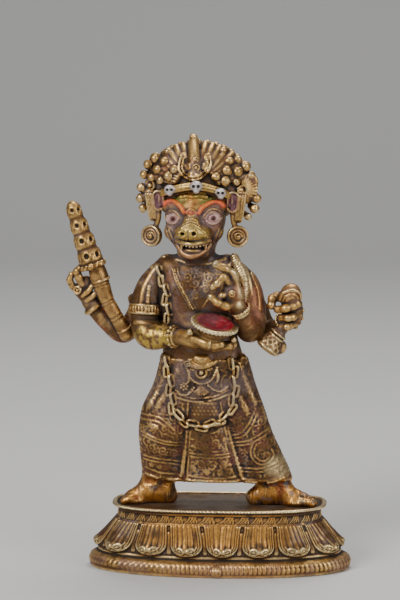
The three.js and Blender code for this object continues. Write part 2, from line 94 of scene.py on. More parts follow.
def smooth_min(a, b, blend):
    """The smaller of two distances, with the corner between them filled over the blend width."""
    if blend <= 0:
        return np.minimum(a, b)
    share = np.maximum(blend - np.abs(a - b), 0) / blend
    return np.minimum(a, b) - share * share * blend * 0.25


def smoothstep(low, high, value):
    """0 below low, 1 above high, and an even turn between."""
    t = np.clip((value - low) / (high - low), 0, 1)
    return t * t * (3 - 2 * t)


def unit(vector):
    """The direction of a vector."""
    vector = np.array(vector, float)
    return vector / max(np.linalg.norm(vector), 1e-9)


def smooth_path(points, rows):
    """Points on a smooth curve through the given ones, rows to a span, each with all its values."""
    points = np.array(points, float)
    if len(points) == 2 or rows == 1:
        spans = np.linspace(0, len(points) - 1, (len(points) - 1) * rows + 1)
        return np.stack([np.interp(spans, np.arange(len(points)), column) for column in points.T], 1)
    ends = np.vstack([2 * points[0] - points[1], points, 2 * points[-1] - points[-2]])
    made = []
    for i in range(len(points) - 1):
        p0, p1, p2, p3 = ends[i:i + 4]
        for t in np.arange(rows) / rows:
            made.append(0.5 * (2 * p1 + (p2 - p0) * t + (2 * p0 - 5 * p1 + 4 * p2 - p3) * t ** 2
                               + (3 * p1 - p0 - 3 * p2 + p3) * t ** 3))
    made.append(points[-1])
    return np.array(made)


class Clay:
    """A block of clay: a grid of distances to the modelled surface, negative inside."""

    def __init__(self, low, high, step):
        self.low = np.array(low, float)
        self.step = step
        counts = np.ceil((np.array(high) - self.low) / step).astype(int) + 1
        self.axes = [np.float32(low[i] + step * np.arange(counts[i])) for i in range(3)]
        self.field = np.full(counts, BAND, np.float32)

    def near(self, low, high):
        """The part of the grid near a box, and the coordinates of its points."""
        cuts, axes = [], []
        for i in range(3):
            first = int(math.floor((low[i] - BAND - self.low[i]) / self.step))
            last = int(math.ceil((high[i] + BAND - self.low[i]) / self.step)) + 1
            cut = slice(max(first, 0), max(min(last, len(self.axes[i])), 0))
            shape = [1, 1, 1]
            shape[i] = -1
            cuts.append(cut)
            axes.append(self.axes[i][cut].reshape(shape))
        return tuple(cuts), axes

    def add(self, shape, blend=0.0):
        """Puts a shape on the clay."""
        low, high, distance = shape
        cut, axes = self.near(low, high)
        if self.field[cut].size:
            self.field[cut] = smooth_min(self.field[cut], distance(*axes), blend)

    def cut(self, shape, blend=0.0):
        """Takes a shape out of the clay."""
        low, high, distance = shape
        cut, axes = self.near(low, high)
        if self.field[cut].size:
            self.field[cut] = -smooth_min(-self.field[cut], distance(*axes), blend)

    def swell(self, low, high, height):
        """Raises the surface inside a box by a height in millimetres, given as a function of place."""
        cut, axes = self.near(low, high)
        if self.field[cut].size:
            self.field[cut] -= np.float32(height(*axes))

    def surface(self, back=False):
        """Depths of the surface seen from the front or from the back, by x and z."""
        field = self.field[:, ::-1, :] if back else self.field
        depths = self.axes[1][::-1] if back else self.axes[1]
        inside = field < 0
        first = np.maximum(inside.argmax(axis=1), 1)
        i, k = np.indices(first.shape)
        after, before = field[i, first, k], field[i, first - 1, k]
        share = after / np.minimum(after - before, -1e-6)
        depth = depths[first] + (depths[first - 1] - depths[first]) * share
        return np.where(inside.any(axis=1), depth, np.nan)

    def depth_at(self, surface, x, z):
        """The depth of a surface at a place."""
        i = int(round((x - self.low[0]) / self.step))
        k = int(round((z - self.low[2]) / self.step))
        i = min(max(i, 0), surface.shape[0] - 1)
        k = min(max(k, 0), surface.shape[1] - 1)
        return float(surface[i, k])


def turned(turn):
    """The rotation for angles in degrees about X, then Y, then Z."""
    ax, ay, az = [math.radians(angle) for angle in turn]
    about_x = np.array([[1, 0, 0], [0, math.cos(ax), -math.sin(ax)], [0, math.sin(ax), math.cos(ax)]])
    about_y = np.array([[math.cos(ay), 0, math.sin(ay)], [0, 1, 0], [-math.sin(ay), 0, math.cos(ay)]])
    about_z = np.array([[math.cos(az), -math.sin(az), 0], [math.sin(az), math.cos(az), 0], [0, 0, 1]])
    return about_z @ about_y @ about_x


def in_frame(centre, frame, x, y, z):
    """Coordinates along a frame's three directions, which are its columns, from a centre."""
    dx, dy, dz = x - centre[0], y - centre[1], z - centre[2]
    return [dx * frame[0, i] + dy * frame[1, i] + dz * frame[2, i] for i in range(3)]


def frame_of(axis, near=(0, 0, 1)):
    """A frame whose third direction is the axis, and whose second is as near as can be to another."""
    third = unit(axis)
    first = np.cross(near, third)
    if np.linalg.norm(first) < 1e-3:
        first = np.cross((0, 1, 0), third)
    first = unit(first)
    return np.stack([first, np.cross(third, first), third], 1)


def ball(centre, radii, turn=(0, 0, 0)):
    """An ellipsoid."""
    radii = np.array([radii] * 3 if np.isscalar(radii) else radii, float)
    frame = turned(turn)
    reach = np.abs(frame) @ radii
    centre = np.array(centre, float)

    def distance(x, y, z):
        u, v, w = in_frame(centre, frame, x, y, z)
        near = length_of(u / radii[0], v / radii[1], w / radii[2])
        slope = length_of(u / radii[0] ** 2, v / radii[1] ** 2, w / radii[2] ** 2)
        return near * (near - 1) / np.maximum(slope, 1e-5)

    return centre - reach, centre + reach, distance


def rod(start, end, start_radius, end_radius, thin=None):
    """A round-ended rod. Thin is a direction and the share that the rod is flattened to along it."""
    start, end = np.array(start, float), np.array(end, float)
    along = end - start
    length = max(float(along @ along), 1e-6)
    widest = max(start_radius, end_radius)

    def distance(x, y, z):
        dx, dy, dz = x - start[0], y - start[1], z - start[2]
        t = np.clip((dx * along[0] + dy * along[1] + dz * along[2]) / length, 0, 1)
        dx, dy, dz = dx - t * along[0], dy - t * along[1], dz - t * along[2]
        if thin is not None:
            direction, share = thin
            more = (dx * direction[0] + dy * direction[1] + dz * direction[2]) * (1 / share - 1)
            dx, dy, dz = dx + direction[0] * more, dy + direction[1] * more, dz + direction[2] * more
        return length_of(dx, dy, dz) - (start_radius + t * (end_radius - start_radius))

    return np.minimum(start, end) - widest, np.maximum(start, end) + widest, distance


def together(shapes, blend=0.0):
    """Several shapes as one."""
    low = np.min([shape[0] for shape in shapes], axis=0)
    high = np.max([shape[1] for shape in shapes], axis=0)

    def distance(x, y, z):
        result = shapes[0][2](x, y, z)
        for shape in shapes[1:]:
            result = smooth_min(result, shape[2](x, y, z), blend)
        return result

    return low, high, distance


def tube(clay, points, blend=0.0, rows=4, thin=None, cut=False):
    """A round-ended tube through points of the form (x, y, z, radius)."""
    path = smooth_path(points, rows)
    rods = [rod(a[:3], b[:3], a[3], b[3], thin) for a, b in zip(path[:-1], path[1:])]
    put = clay.cut if cut else clay.add
    if blend:
        put(together(rods), blend)
    else:
        for piece in rods:
            put(piece)


def ring(centre, axis, radius, wire, stretch=1.0, near=(0, 0, 1)):
    """A ring round an axis, stretched by a share along the second direction of its frame."""
    frame = frame_of(axis, near)
    centre = np.array(centre, float)
    reach = radius * max(stretch, 1) + wire

    def distance(x, y, z):
        u, v, w = in_frame(centre, frame, x, y, z)
        flat = length_of(u / radius, v / (radius * stretch))
        slope = length_of(u / radius ** 2, v / (radius * stretch) ** 2)
        off = flat * (flat - 1) / np.maximum(slope, 1e-5)
        return length_of(off, w) - wire

    return centre - reach, centre + reach, distance


def link(centre, along, out, half_length, half_width, wire):
    """An oval chain link, long along one direction and flat towards another."""
    frame = frame_of(out, along)
    centre = np.array(centre, float)
    reach = half_length + wire

    def distance(x, y, z):
        u, v, w = in_frame(centre, frame, x, y, z)
        past = np.maximum(np.abs(v) - (half_length - half_width), 0)
        return length_of(length_of(u, past) - half_width, w) - wire

    return centre - reach, centre + reach, distance


def turning(base, axis, profile):
    """A turned body: its profile is pairs of the way along the axis and the radius there."""
    profile = np.array(profile, float)
    frame = frame_of(axis)
    base = np.array(base, float)
    widest = profile[:, 1].max()
    ends = np.stack([base + frame[:, 2] * profile[0, 0], base + frame[:, 2] * profile[-1, 0]])

    def distance(x, y, z):
        u, v, w = in_frame(base, frame, x, y, z)
        side = (length_of(u, v) - np.interp(w, profile[:, 0], profile[:, 1])) * 0.9
        return np.maximum(side, np.maximum(profile[0, 0] - w, w - profile[-1, 0]))

    return ends.min(0) - widest, ends.max(0) + widest, distance


def loft(sections, rows=6):
    """A body of oval sections from low to high: (z, middle x, middle y, half width, half depth, roundness)."""
    full = [tuple(section) + (2,) * (6 - len(section)) for section in sections]
    path = smooth_path(full, rows)
    reach_low = (path[:, 1] - path[:, 3]).min(), (path[:, 2] - path[:, 4]).min(), path[0, 0]
    reach_high = (path[:, 1] + path[:, 3]).max(), (path[:, 2] + path[:, 4]).max(), path[-1, 0]

    def distance(x, y, z):
        level = np.ravel(z)
        shaped = [np.interp(level, path[:, 0], path[:, i]).reshape(z.shape) for i in range(1, 6)]
        middle_x, middle_y, width, depth, power = [np.float32(values) for values in shaped]
        u, v = np.abs(x - middle_x) / width, np.abs(y - middle_y) / depth
        u, v = np.maximum(u, 1e-4), np.maximum(v, 1e-4)
        reach = (u ** power + v ** power) ** (1 / power)
        slope = length_of((u / reach) ** (power - 1) / width, (v / reach) ** (power - 1) / depth)
        side = (reach - 1) / np.maximum(slope, 1e-5)
        return np.maximum(side, np.maximum(path[0, 0] - z, z - path[-1, 0]))

    return np.array(reach_low), np.array(reach_high), distance


class Relief:
    """Draws raised or sunk lines on the front or back of the clay, from flat drawings in x and z."""

    def __init__(self, clay, back=False):
        self.clay = clay
        self.skin = clay.surface(back)
        self.out = 1.0 if back else -1.0

    def points(self, line, width, lift, rows):
        """The drawn line as points on the surface, with its half width."""
        placed = []
        for row in smooth_path(line, rows):
            x, z = row[0], row[1]
            half = width if len(row) < 3 else row[2]
            depth = self.clay.depth_at(self.skin, x, z)
            if not math.isnan(depth):
                placed.append((x, depth + self.out * lift, z, half))
        return placed

    def line(self, line, width=0.4, lift=0.0, rows=4, sunk=False, blend=0.0):
        """A cord along a line, or a groove."""
        placed = self.points(line, width, lift, rows)
        put = self.clay.cut if sunk else self.clay.add
        for a, b in zip(placed[:-1], placed[1:]):
            if abs(a[1] - b[1]) < 3:
                put(rod(a[:3], b[:3], a[3], b[3]), blend)

    def beads(self, line, size=0.7, pitch=1.6, lift=0.1):
        """A row of beads along a line."""
        path = smooth_path(line, 8)
        run = np.concatenate([[0], np.cumsum(np.linalg.norm(np.diff(path[:, :2], axis=0), axis=1))])
        count = max(1, int(round(run[-1] / pitch)))
        for at in np.linspace(0, run[-1], count + 1):
            x, z = np.interp(at, run, path[:, 0]), np.interp(at, run, path[:, 1])
            self.bump(x, z, size, lift)

    def bump(self, x, z, size, lift=0.0):
        """One round bump."""
        depth = self.clay.depth_at(self.skin, x, z)
        if not math.isnan(depth):
            self.clay.add(ball((x, depth + self.out * lift, z), size))

    def spiral(self, x, z, size, turns=1.6, start=0.0, hand=1, width=0.4, tail=None):
        """A scroll that winds in from its edge; its tail, if given, is a point that it springs from."""
        angles = np.linspace(0, turns * 2 * math.pi, int(turns * 14) + 2)
        reach = size * (1 - 0.82 * angles / angles[-1])
        begin = math.radians(start)
        line = [(x + r * math.cos(begin + hand * a), z + r * math.sin(begin + hand * a))
                for a, r in zip(angles, reach)]
        if tail:
            line = [tail] + line
        self.line(line, width, rows=1)

    def rosette(self, x, z, size, petals=0):
        """A round boss inside a ring, with petals round it if wanted."""
        depth = self.clay.depth_at(self.skin, x, z)
        if math.isnan(depth):
            return
        front = depth + self.out * 0.2
        self.clay.add(ring((x, front, z), (0, -1, 0), size * 0.78, size * 0.2))
        self.clay.add(ball((x, front, z), (size * 0.42, size * 0.5, size * 0.42)))
        for i in range(petals):
            angle = 2 * math.pi * i / petals
            at = (x + size * 1.15 * math.cos(angle), front, z + size * 1.15 * math.sin(angle))
            self.clay.add(ball(at, size * 0.3))


class Drawing:
    """A flat relief drawing over x and z: the height in millimetres of every small cell."""

    CELL = 0.2

    def __init__(self, low, high):
        self.low = np.array(low, float)
        counts = np.ceil((np.array(high) - self.low) / self.CELL).astype(int) + 1
        self.heights = np.zeros(counts, np.float32)
        self.x = np.float32(self.low[0] + self.CELL * np.arange(counts[0]))[:, None]
        self.z = np.float32(self.low[1] + self.CELL * np.arange(counts[1]))[None, :]

    def put(self, low, high, height):
        """Keeps the larger of the drawing and a height that is given as a function of x and z."""
        first = np.maximum(np.floor((np.array(low) - self.low) / self.CELL).astype(int), 0)
        last = np.ceil((np.array(high) - self.low) / self.CELL).astype(int) + 1
        i, k = slice(first[0], max(last[0], 0)), slice(first[1], max(last[1], 0))
        part = self.heights[i, k]
        if part.size:
            made = height(self.x[i], self.z[:, k])
            self.heights[i, k] = np.where(np.abs(made) > np.abs(part), made, part)

    def line(self, line, width=0.5, height=0.35, rows=5):
        """A round-topped line, or a groove where the height is negative."""
        path = smooth_path([point[:2] for point in line], rows)
        for a, b in zip(path[:-1], path[1:]):
            along = b - a
            length = max(float(along @ along), 1e-9)

            def made(x, z, a=a, along=along, length=length):
                t = np.clip(((x - a[0]) * along[0] + (z - a[1]) * along[1]) / length, 0, 1)
                off = length_of(x - a[0] - t * along[0], z - a[1] - t * along[1]) / width
                return height * np.sqrt(np.maximum(1 - off * off, 0))

            self.put(np.minimum(a, b) - width, np.maximum(a, b) + width, made)

    def lines(self, rows, width=0.5, height=0.35):
        """Several lines of one width and height."""
        for row in rows:
            self.line(row, width, height)

    def scroll(self, x, z, size, start=0.0, hand=1, turns=1.5, width=0.5, height=0.38, leaves=4):
        """A tendril that winds in from its edge to a round bud, with short leaves round its outside."""
        begin = math.radians(start)
        angles = np.linspace(0, turns * 2 * math.pi, int(turns * 12) + 2)
        reach = size * (1 - 0.8 * angles / angles[-1])
        place = [(x + r * math.cos(begin + hand * a), z + r * math.sin(begin + hand * a))
                 for a, r in zip(angles, reach)]
        self.line(place, width, height, rows=1)
        self.boss(x, z, size * 0.2, height)
        for i in range(leaves):
            a = begin + hand * (0.5 + i * 0.95)
            near, far, lean = size * 1.02, size * 1.42, 0.42 * hand
            bend = [(x + near * math.cos(a), z + near * math.sin(a)),
                    (x + far * 0.92 * math.cos(a + lean * 0.4), z + far * 0.92 * math.sin(a + lean * 0.4)),
                    (x + far * math.cos(a + lean), z + far * math.sin(a + lean))]
            self.line(bend, width * 0.85, height * 0.85, rows=3)

    def boss(self, x, z, size, height=0.4):
        """A round bump."""
        def made(px, pz):
            off = length_of(px - x, pz - z) / size
            return height * np.sqrt(np.maximum(1 - off * off, 0))
        self.put((x - size, z - size), (x + size, z + size), made)

    def flower(self, x, z, size, petals=6, height=0.4):
        """A round flower: its petals round a bud."""
        self.boss(x, z, size * 0.3, height * 1.2)
        for i in range(petals):
            angle = 2 * math.pi * (i + 0.5) / petals
            self.boss(x + size * 0.66 * math.cos(angle), z + size * 0.66 * math.sin(angle),
                      size * 0.34, height)

    def oval(self, x, z, half_width, half_height):
        """1 inside an oval of the drawing, falling to 0 at its edge."""
        return 1 - smoothstep(0.8, 1.0, length_of((self.x - x) / half_width, (self.z - z) / half_height))

    def tendrils(self, pitch, height, seed, keep_out=0.0):
        """Fills what is still bare with small winding tendrils and seeds between them."""
        x, z = np.broadcast_arrays(self.x, self.z)
        flat = np.stack([x.ravel(), np.zeros(x.size), z.ravel()], 1)
        wave = noise(flat, pitch, seed) + 0.45 * noise(flat, pitch * 0.5, seed + 1) - 0.72
        wave = wave.reshape(x.shape)
        slope = length_of(*np.gradient(wave, self.CELL))
        off = np.abs(wave) / np.maximum(slope, 0.05) / 0.36
        seeds = noise(flat, 0.75, seed + 2).reshape(x.shape)
        made = np.maximum(np.sqrt(np.maximum(1 - off * off, 0)), smoothstep(0.66, 0.86, seeds) * 0.75)
        bare = 1 - smoothstep(0, 0.12, np.abs(self.heights))
        self.heights += (made * bare * height * (1 - keep_out)).astype(np.float32)

    def at(self, x, z):
        """The heights at places, which broadcast together."""
        u = np.clip((x - self.low[0]) / self.CELL, 0, self.heights.shape[0] - 1.001)
        v = np.clip((z - self.low[1]) / self.CELL, 0, self.heights.shape[1] - 1.001)
        i, k = u.astype(int), v.astype(int)
        s, t = u - i, v - k
        h = self.heights
        return ((h[i, k] * (1 - s) + h[i + 1, k] * s) * (1 - t)
                + (h[i, k + 1] * (1 - s) + h[i + 1, k + 1] * s) * t)


def emboss(clay, drawing, back=False, reach=3.0):
    """Raises the clay's front or back by a drawing."""
    heights = drawing.at(clay.axes[0][:, None], clay.axes[2][None, :])
    skin = clay.surface(back)
    away = np.abs(clay.axes[1][None, :, None] - skin[:, None, :])
    clay.field -= np.where(away < reach, heights[:, None, :], 0).astype(np.float32)


def snail(clay, centre, facing, size, start=0.0, hand=1, turns=1.45, wire=0.5):
    """A snail curl: a low mound with a cord that winds to its top."""
    centre, facing = np.array(centre, float), unit(facing)
    frame = frame_of(facing)
    clay.add(rod(centre - facing * size * 0.5, centre, size * 0.95, size * 0.95, (facing, 0.36)), 0.3)
    begin = math.radians(start)
    angles = np.linspace(0, turns * 2 * math.pi, int(turns * 12) + 2)
    line = []
    for angle in angles:
        share = 1 - 0.84 * angle / angles[-1]
        across = size * 0.86 * share
        up = size * 0.42 * math.sqrt(1 - share * share * 0.82)
        spot = (centre + frame[:, 0] * across * math.cos(begin + hand * angle)
                + frame[:, 1] * across * math.sin(begin + hand * angle) + facing * up)
        line.append((*spot, wire))
    tube(clay, line, rows=1)
    clay.add(ball(centre + facing * size * 0.44, wire * 1.4))


def bead_ring(clay, centre, axis, radius, size, pitch, stretch=1.0, near=(0, 0, 1)):
    """Beads round an axis."""
    frame = frame_of(axis, near)
    count = int(round(math.pi * radius * (1 + stretch) / pitch))
    for i in range(count):
        angle = 2 * math.pi * i / count
        spot = (np.array(centre) + frame[:, 0] * radius * math.cos(angle)
                + frame[:, 1] * radius * stretch * math.sin(angle))
        clay.add(ball(spot, size))


def noise(points, size, seed):
    """Smooth random values between 0 and 1, in lumps of a size in millimetres."""
    spot = (points - np.float32(-150)) / np.float32(size)
    cell = np.floor(spot).astype(np.int64)
    part = spot - cell
    part = part * part * (3 - 2 * part)
    total = np.zeros(len(points), np.float32)
    for corner in range(8):
        at = [cell[:, i] + (corner >> i & 1) for i in range(3)]
        mixed = (at[0] * 73856093) ^ (at[1] * 19349663) ^ (at[2] * 83492791) ^ (seed * 2654435761)
        mixed = (mixed ^ (mixed >> 13)) * 1274126177 & 0xffffffff
        value = (mixed ^ (mixed >> 16)) % 65536 / 65535
        weight = np.ones(len(points), np.float32)
        for i in range(3):
            weight = weight * (part[:, i] if corner >> i & 1 else 1 - part[:, i])
        total += (value * weight).astype(np.float32)
    return total


def blurred(field, reach):
    """The mean over a cube of cells, reach cells to each side."""
    for axis in range(3):
        edges = [(reach + 1, reach) if i == axis else (0, 0) for i in range(3)]
        total = np.cumsum(np.pad(field, edges, mode="edge"), axis=axis, dtype=np.float32)
        wide = 2 * reach + 1
        count = total.shape[axis]
        field = (np.take(total, range(wide, count), axis) - np.take(total, range(count - wide), axis)) / wide
    return field


def sampled(clay, field, points):
    """A grid's values at points, in between its cells."""
    spot = (points - clay.low) / clay.step
    spot = np.clip(spot, 0, np.array(field.shape) - 1.001)
    cell = spot.astype(int)
    part = (spot - cell).astype(np.float32)
    total = np.zeros(len(points), np.float32)
    for corner in range(8):
        step = [corner >> i & 1 for i in range(3)]
        weight = np.ones(len(points), np.float32)
        for i in range(3):
            weight = weight * (part[:, i] if step[i] else 1 - part[:, i])
        total += field[cell[:, 0] + step[0], cell[:, 1] + step[1], cell[:, 2] + step[2]] * weight
    return total


def linear(colour):
    """A colour given as 0 to 255 on screen, as the light that it stands for."""
    value = np.array(colour, float) / 255
    return np.where(value <= 0.04045, value / 12.92, ((value + 0.055) / 1.055) ** 2.4)


# Colours on screen of the bronze, its films and its old paint, a pale gold for painted highlights and a dark brown for
# painted shade in hollows.
GOLD = (226, 184, 112)
WARM_GOLD = (222, 160, 82)
# painted highlight: the palest gold, laid on the most raised places
HIGHLIGHT_GOLD = (238, 214, 160)
BROWN = (112, 82, 52)
RED_BROWN = (118, 74, 52)
FILM = (124, 104, 100)
COOL_FILM = (116, 112, 118)
# painted shade: the darkest brown, laid in hollows and recesses
HOLLOW_SHADE = (38, 29, 22)
LACQUER = (150, 20, 40)


class Finish:
    """The colour, roughness and share of metal of every point of a mesh."""

    def __init__(self, points, relief, hollow):
        self.points = np.asarray(points, np.float32)
        self.x, self.y, self.z = self.points.T
        self.relief = relief
        self.hollow = hollow
        count = len(points)
        self.colour = np.tile(linear(BROWN), (count, 1))
        self.rough = np.full(count, 0.5)
        self.metal = np.full(count, 0.85)

    def lay(self, share, colour, rough=None, metal=None):
        """Lays a colour over a share of the surface, between 0 and 1 at each point."""
        share = np.clip(share, 0, 1)
        self.colour += (linear(colour) - self.colour) * share[:, None]
        if rough is not None:
            self.rough += (rough - self.rough) * share
        if metal is not None:
            self.metal += (metal - self.metal) * share

    def cast(self, film=0.6, gold=1.0, warm=0.3, seed=1):
        """Old bronze: brown metal under a purplish film, rubbed gilt with a painted highlight where it stands out, and
        painted shade in hollows.
        """
        large = noise(self.points, 9.0, seed)
        small = noise(self.points, 2.4, seed + 1)
        fine = noise(self.points, 0.9, seed + 2)
        cloud = large * 0.5 + small * 0.32 + fine * 0.18
        self.lay(smoothstep(0.62 - 0.3 * film, 1.0 - 0.5 * film, cloud) * 0.9, FILM, 0.6, 0.6)
        self.lay(smoothstep(0.55, 0.75, noise(self.points, 5.5, seed + 3)) * 0.5, RED_BROWN, 0.52, 0.8)
        # rub: gilt rubbed bare where the surface stands out, brightening to a painted highlight of pale gold on the
        # most raised places
        rub = self.relief * 2.2 + (small - 0.5) * 0.55 + (large - 0.5) * 0.5
        self.lay(smoothstep(0.05, 0.75, rub) * gold, GOLD, 0.36, 1.0)
        self.lay(smoothstep(0.3, 1.0, rub) * gold * warm, WARM_GOLD, 0.34, 1.0)
        self.lay(smoothstep(0.75, 1.5, rub) * gold, HIGHLIGHT_GOLD, 0.3, 1.0)
        # painted shade: the surface darkened in its hollows
        shade_in_hollows = smoothstep(0.03, 0.34, self.hollow + (fine - 0.5) * 0.08)
        self.lay(shade_in_hollows * 0.92, HOLLOW_SHADE, 0.75, 0.3)

    def blob(self, x, z, width, height, soft=0.3, front=None):
        """1 inside an oval seen from the front, falling off at its edge, and 0 behind a depth."""
        off = length_of((self.x - x) / width, (self.z - z) / height)
        mask = 1 - smoothstep(1 - soft, 1 + soft, off)
        return mask if front is None else mask * (self.y < front)

    def along(self, line, width, front=None, soft=0.4):
        """1 near a line seen from the front, falling off at its edge."""
        path = smooth_path(line, 5)
        nearest = np.full(len(self.x), 99.0, np.float32)
        for a, b in zip(path[:-1], path[1:]):
            ahead = b - a
            t = np.clip(((self.x - a[0]) * ahead[0] + (self.z - a[1]) * ahead[1])
                        / max(float(ahead @ ahead), 1e-9), 0, 1)
            nearest = np.minimum(nearest, length_of(self.x - a[0] - t * ahead[0],
                                                    self.z - a[1] - t * ahead[1]))
        mask = 1 - smoothstep(width * (1 - soft), width * (1 + soft), nearest)
        return mask if front is None else mask * (self.y < front)


def cast_metal(name):
    """Bronze that takes its colour, roughness and share of metal from the points of the mesh."""
    material = bpy.data.materials.new(name)
    material.use_nodes = True
    nodes, links = material.node_tree.nodes, material.node_tree.links
    shader = nodes["Principled BSDF"]

    def node(kind, **settings):
        made = nodes.new(kind)
        for key, value in settings.items():
            setattr(made, key, value)
        return made

    def mixed(blend, factor, first, second):
        made = node("ShaderNodeMix", data_type="RGBA", blend_type=blend)
        made.inputs[0].default_value = factor
        links.new(first, made.inputs[6])
        links.new(second, made.inputs[7])
        return made.outputs[2]

    tint = node("ShaderNodeAttribute", attribute_name="tint")
    finish = node("ShaderNodeAttribute", attribute_name="finish")
    split = node("ShaderNodeSeparateColor")
    links.new(finish.outputs["Color"], split.inputs[0])
    place = node("ShaderNodeTexCoord")

    grains = node("ShaderNodeTexNoise")
    grains.inputs["Scale"].default_value = 900
    grains.inputs["Detail"].default_value = 5
    grains.inputs["Roughness"].default_value = 0.65
    links.new(place.outputs["Object"], grains.inputs["Vector"])
    shade = node("ShaderNodeValToRGB")
    shade.color_ramp.elements[0].position = 0.3
    shade.color_ramp.elements[0].color = (0.45, 0.42, 0.4, 1)
    shade.color_ramp.elements[1].position = 0.66
    shade.color_ramp.elements[1].color = (1.12, 1.1, 1.04, 1)
    links.new(grains.outputs["Fac"], shade.inputs[0])
    links.new(mixed("MULTIPLY", 0.75, tint.outputs["Color"], shade.outputs["Color"]),
              shader.inputs["Base Color"])

    patches = node("ShaderNodeTexNoise")
    patches.inputs["Scale"].default_value = 330
    patches.inputs["Detail"].default_value = 4
    links.new(place.outputs["Object"], patches.inputs["Vector"])
    spread = node("ShaderNodeMapRange")
    spread.inputs["To Min"].default_value = -0.1
    spread.inputs["To Max"].default_value = 0.12
    links.new(patches.outputs["Fac"], spread.inputs["Value"])
    rough = node("ShaderNodeMath", operation="ADD", use_clamp=True)
    links.new(split.outputs[0], rough.inputs[0])
    links.new(spread.outputs["Result"], rough.inputs[1])
    links.new(rough.outputs[0], shader.inputs["Roughness"])
    links.new(split.outputs[1], shader.inputs["Metallic"])

    bump = node("ShaderNodeBump")
    bump.inputs["Strength"].default_value = 0.5
    bump.inputs["Distance"].default_value = 0.00022
    links.new(grains.outputs["Fac"], bump.inputs["Height"])
    links.new(bump.outputs["Normal"], shader.inputs["Normal"])
    return material


def put_mesh(name, points, quads, finish, material, node):
    """Makes a piece of the model from points in millimetres and their finish."""
    mesh = bpy.data.meshes.new(name)
    mesh.vertices.add(len(points))
    mesh.vertices.foreach_set("co", (points * MM).astype(np.float32).ravel())
    mesh.loops.add(len(quads) * 4)
    mesh.loops.foreach_set("vertex_index", quads.astype(np.int32).ravel())
    mesh.polygons.add(len(quads))
    mesh.polygons.foreach_set("loop_start", np.arange(0, len(quads) * 4, 4, dtype=np.int32))
    mesh.polygons.foreach_set("use_smooth", np.ones(len(quads), bool))
    mesh.update(calc_edges=True)
    one = np.ones(len(points))
    for layer, values in (("tint", (*finish.colour.T, one)),
                          ("finish", (finish.rough, finish.metal, one, one))):
        made = mesh.attributes.new(layer, "FLOAT_COLOR", "POINT")
        made.data.foreach_set("color", np.stack(values, 1).astype(np.float32).ravel())
    mesh.materials.append(material)
    piece = bpy.data.objects.new(name, mesh)
    bpy.context.scene.collection.objects.link(piece)
    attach(piece, "root")
    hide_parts(node)
    return piece


def without_specks(points, quads):
    """The mesh without the loose specks that the thinnest edges of the clay leave beside it."""
    label = np.arange(len(points))
    while True:
        least = label[quads].min(axis=1)
        lowest = label.copy()
        for corners in quads.T:
            np.minimum.at(lowest, corners, least)
        lowest = lowest[lowest]
        if np.array_equal(lowest, label):
            break
        label = lowest
    body = label[quads[:, 0]]
    quads = quads[np.bincount(body)[body] >= SPECK_QUADS]
    used, renumbered = np.unique(quads, return_inverse=True)
    return points[used], renumbered.reshape(quads.shape)


def put_clay(name, clay, paint, material):
    """Makes a piece of the figure from clay, painted by a function of its finish."""
    grid = openvdb.FloatGrid(background=BAND)
    grid.copyFromArray(np.ascontiguousarray(clay.field))
    points, _, quads = grid.convertToPolygons(isovalue=0.0, adaptivity=0.0)
    points, quads = without_specks(points.astype(float) * clay.step + clay.low, quads.astype(int))
    close = blurred(clay.field, 2)
    wide = blurred(close, 4)
    relief = sampled(clay, close, points) * 1.6 + sampled(clay, wide, points) * 0.35
    finish = Finish(points, relief, np.maximum(-relief, 0) + np.maximum(-sampled(clay, wide, points), 0) * 0.3)
    paint(finish)
    return put_mesh(name, points, quads, finish, material, "figure")


# Skirt and legs

BENT_LEG = [(44.6, -27.6, -1.5, 8.6, 9), (47, -27.7, -1.5, 9.2, 9.4), (55, -28, -2, 9.8, 10.4),
            (67, -26, -2.5, 12.4, 11.6), (78, -21.6, -2.5, 15, 12.2), (89, -16, -2, 15.4, 12), (102, -12.4, -2, 15.4, 11)]
STRAIGHT_LEG = [(43.4, 23.4, -1.5, 11.4, 10), (46, 22.4, -1.5, 11.6, 10.4), (55, 18.8, -2, 11.4, 10.6),
                (66, 13.6, -2.5, 11.6, 11.2), (78, 8.4, -2.5, 12.8, 11.8), (89, 2.6, -2, 14.6, 12), (102, -3.2, -2, 16.6, 11)]
BETWEEN = [(43, -3.6, -2, 24, 9.2, 3), (60, -5, -2, 22, 9.4, 3), (80, -7, -2, 18, 9.6, 2.6), (102, -8, -2, 17, 9.8, 2.4)]
FRONT_PANEL = [(43.4, -3.4, -6, 13.2, 7, 6), (56, -4.2, -6.4, 10.6, 7, 6), (72, -5.4, -7, 8.6, 6.8, 5), (82, -6.6, -7, 8.6, 6.4, 3)]

# The belt chain from its left end, under the hanging sash, to its right end.
BELT_CHAIN = [(-25.6, 105), (-24.7, 100.3), (-23, 93.4), (-22.2, 85.6), (-20.8, 78.4), (-17.2, 73.6), (-11.9, 71.3),
              (-7.4, 70.6), (-3, 71.6), (1.6, 74.2), (5.4, 78.2), (7.4, 84.6), (7.6, 92), (7, 99), (6.6, 105)]
LINK_PITCH = 4.3

RIGHT_TRIM = [(2.8, 70.5), (6.1, 57.3), (9.7, 44.1)]
LEFT_TRIM = [(-13.4, 67.6), (-14.1, 57.3), (-14.8, 45)]


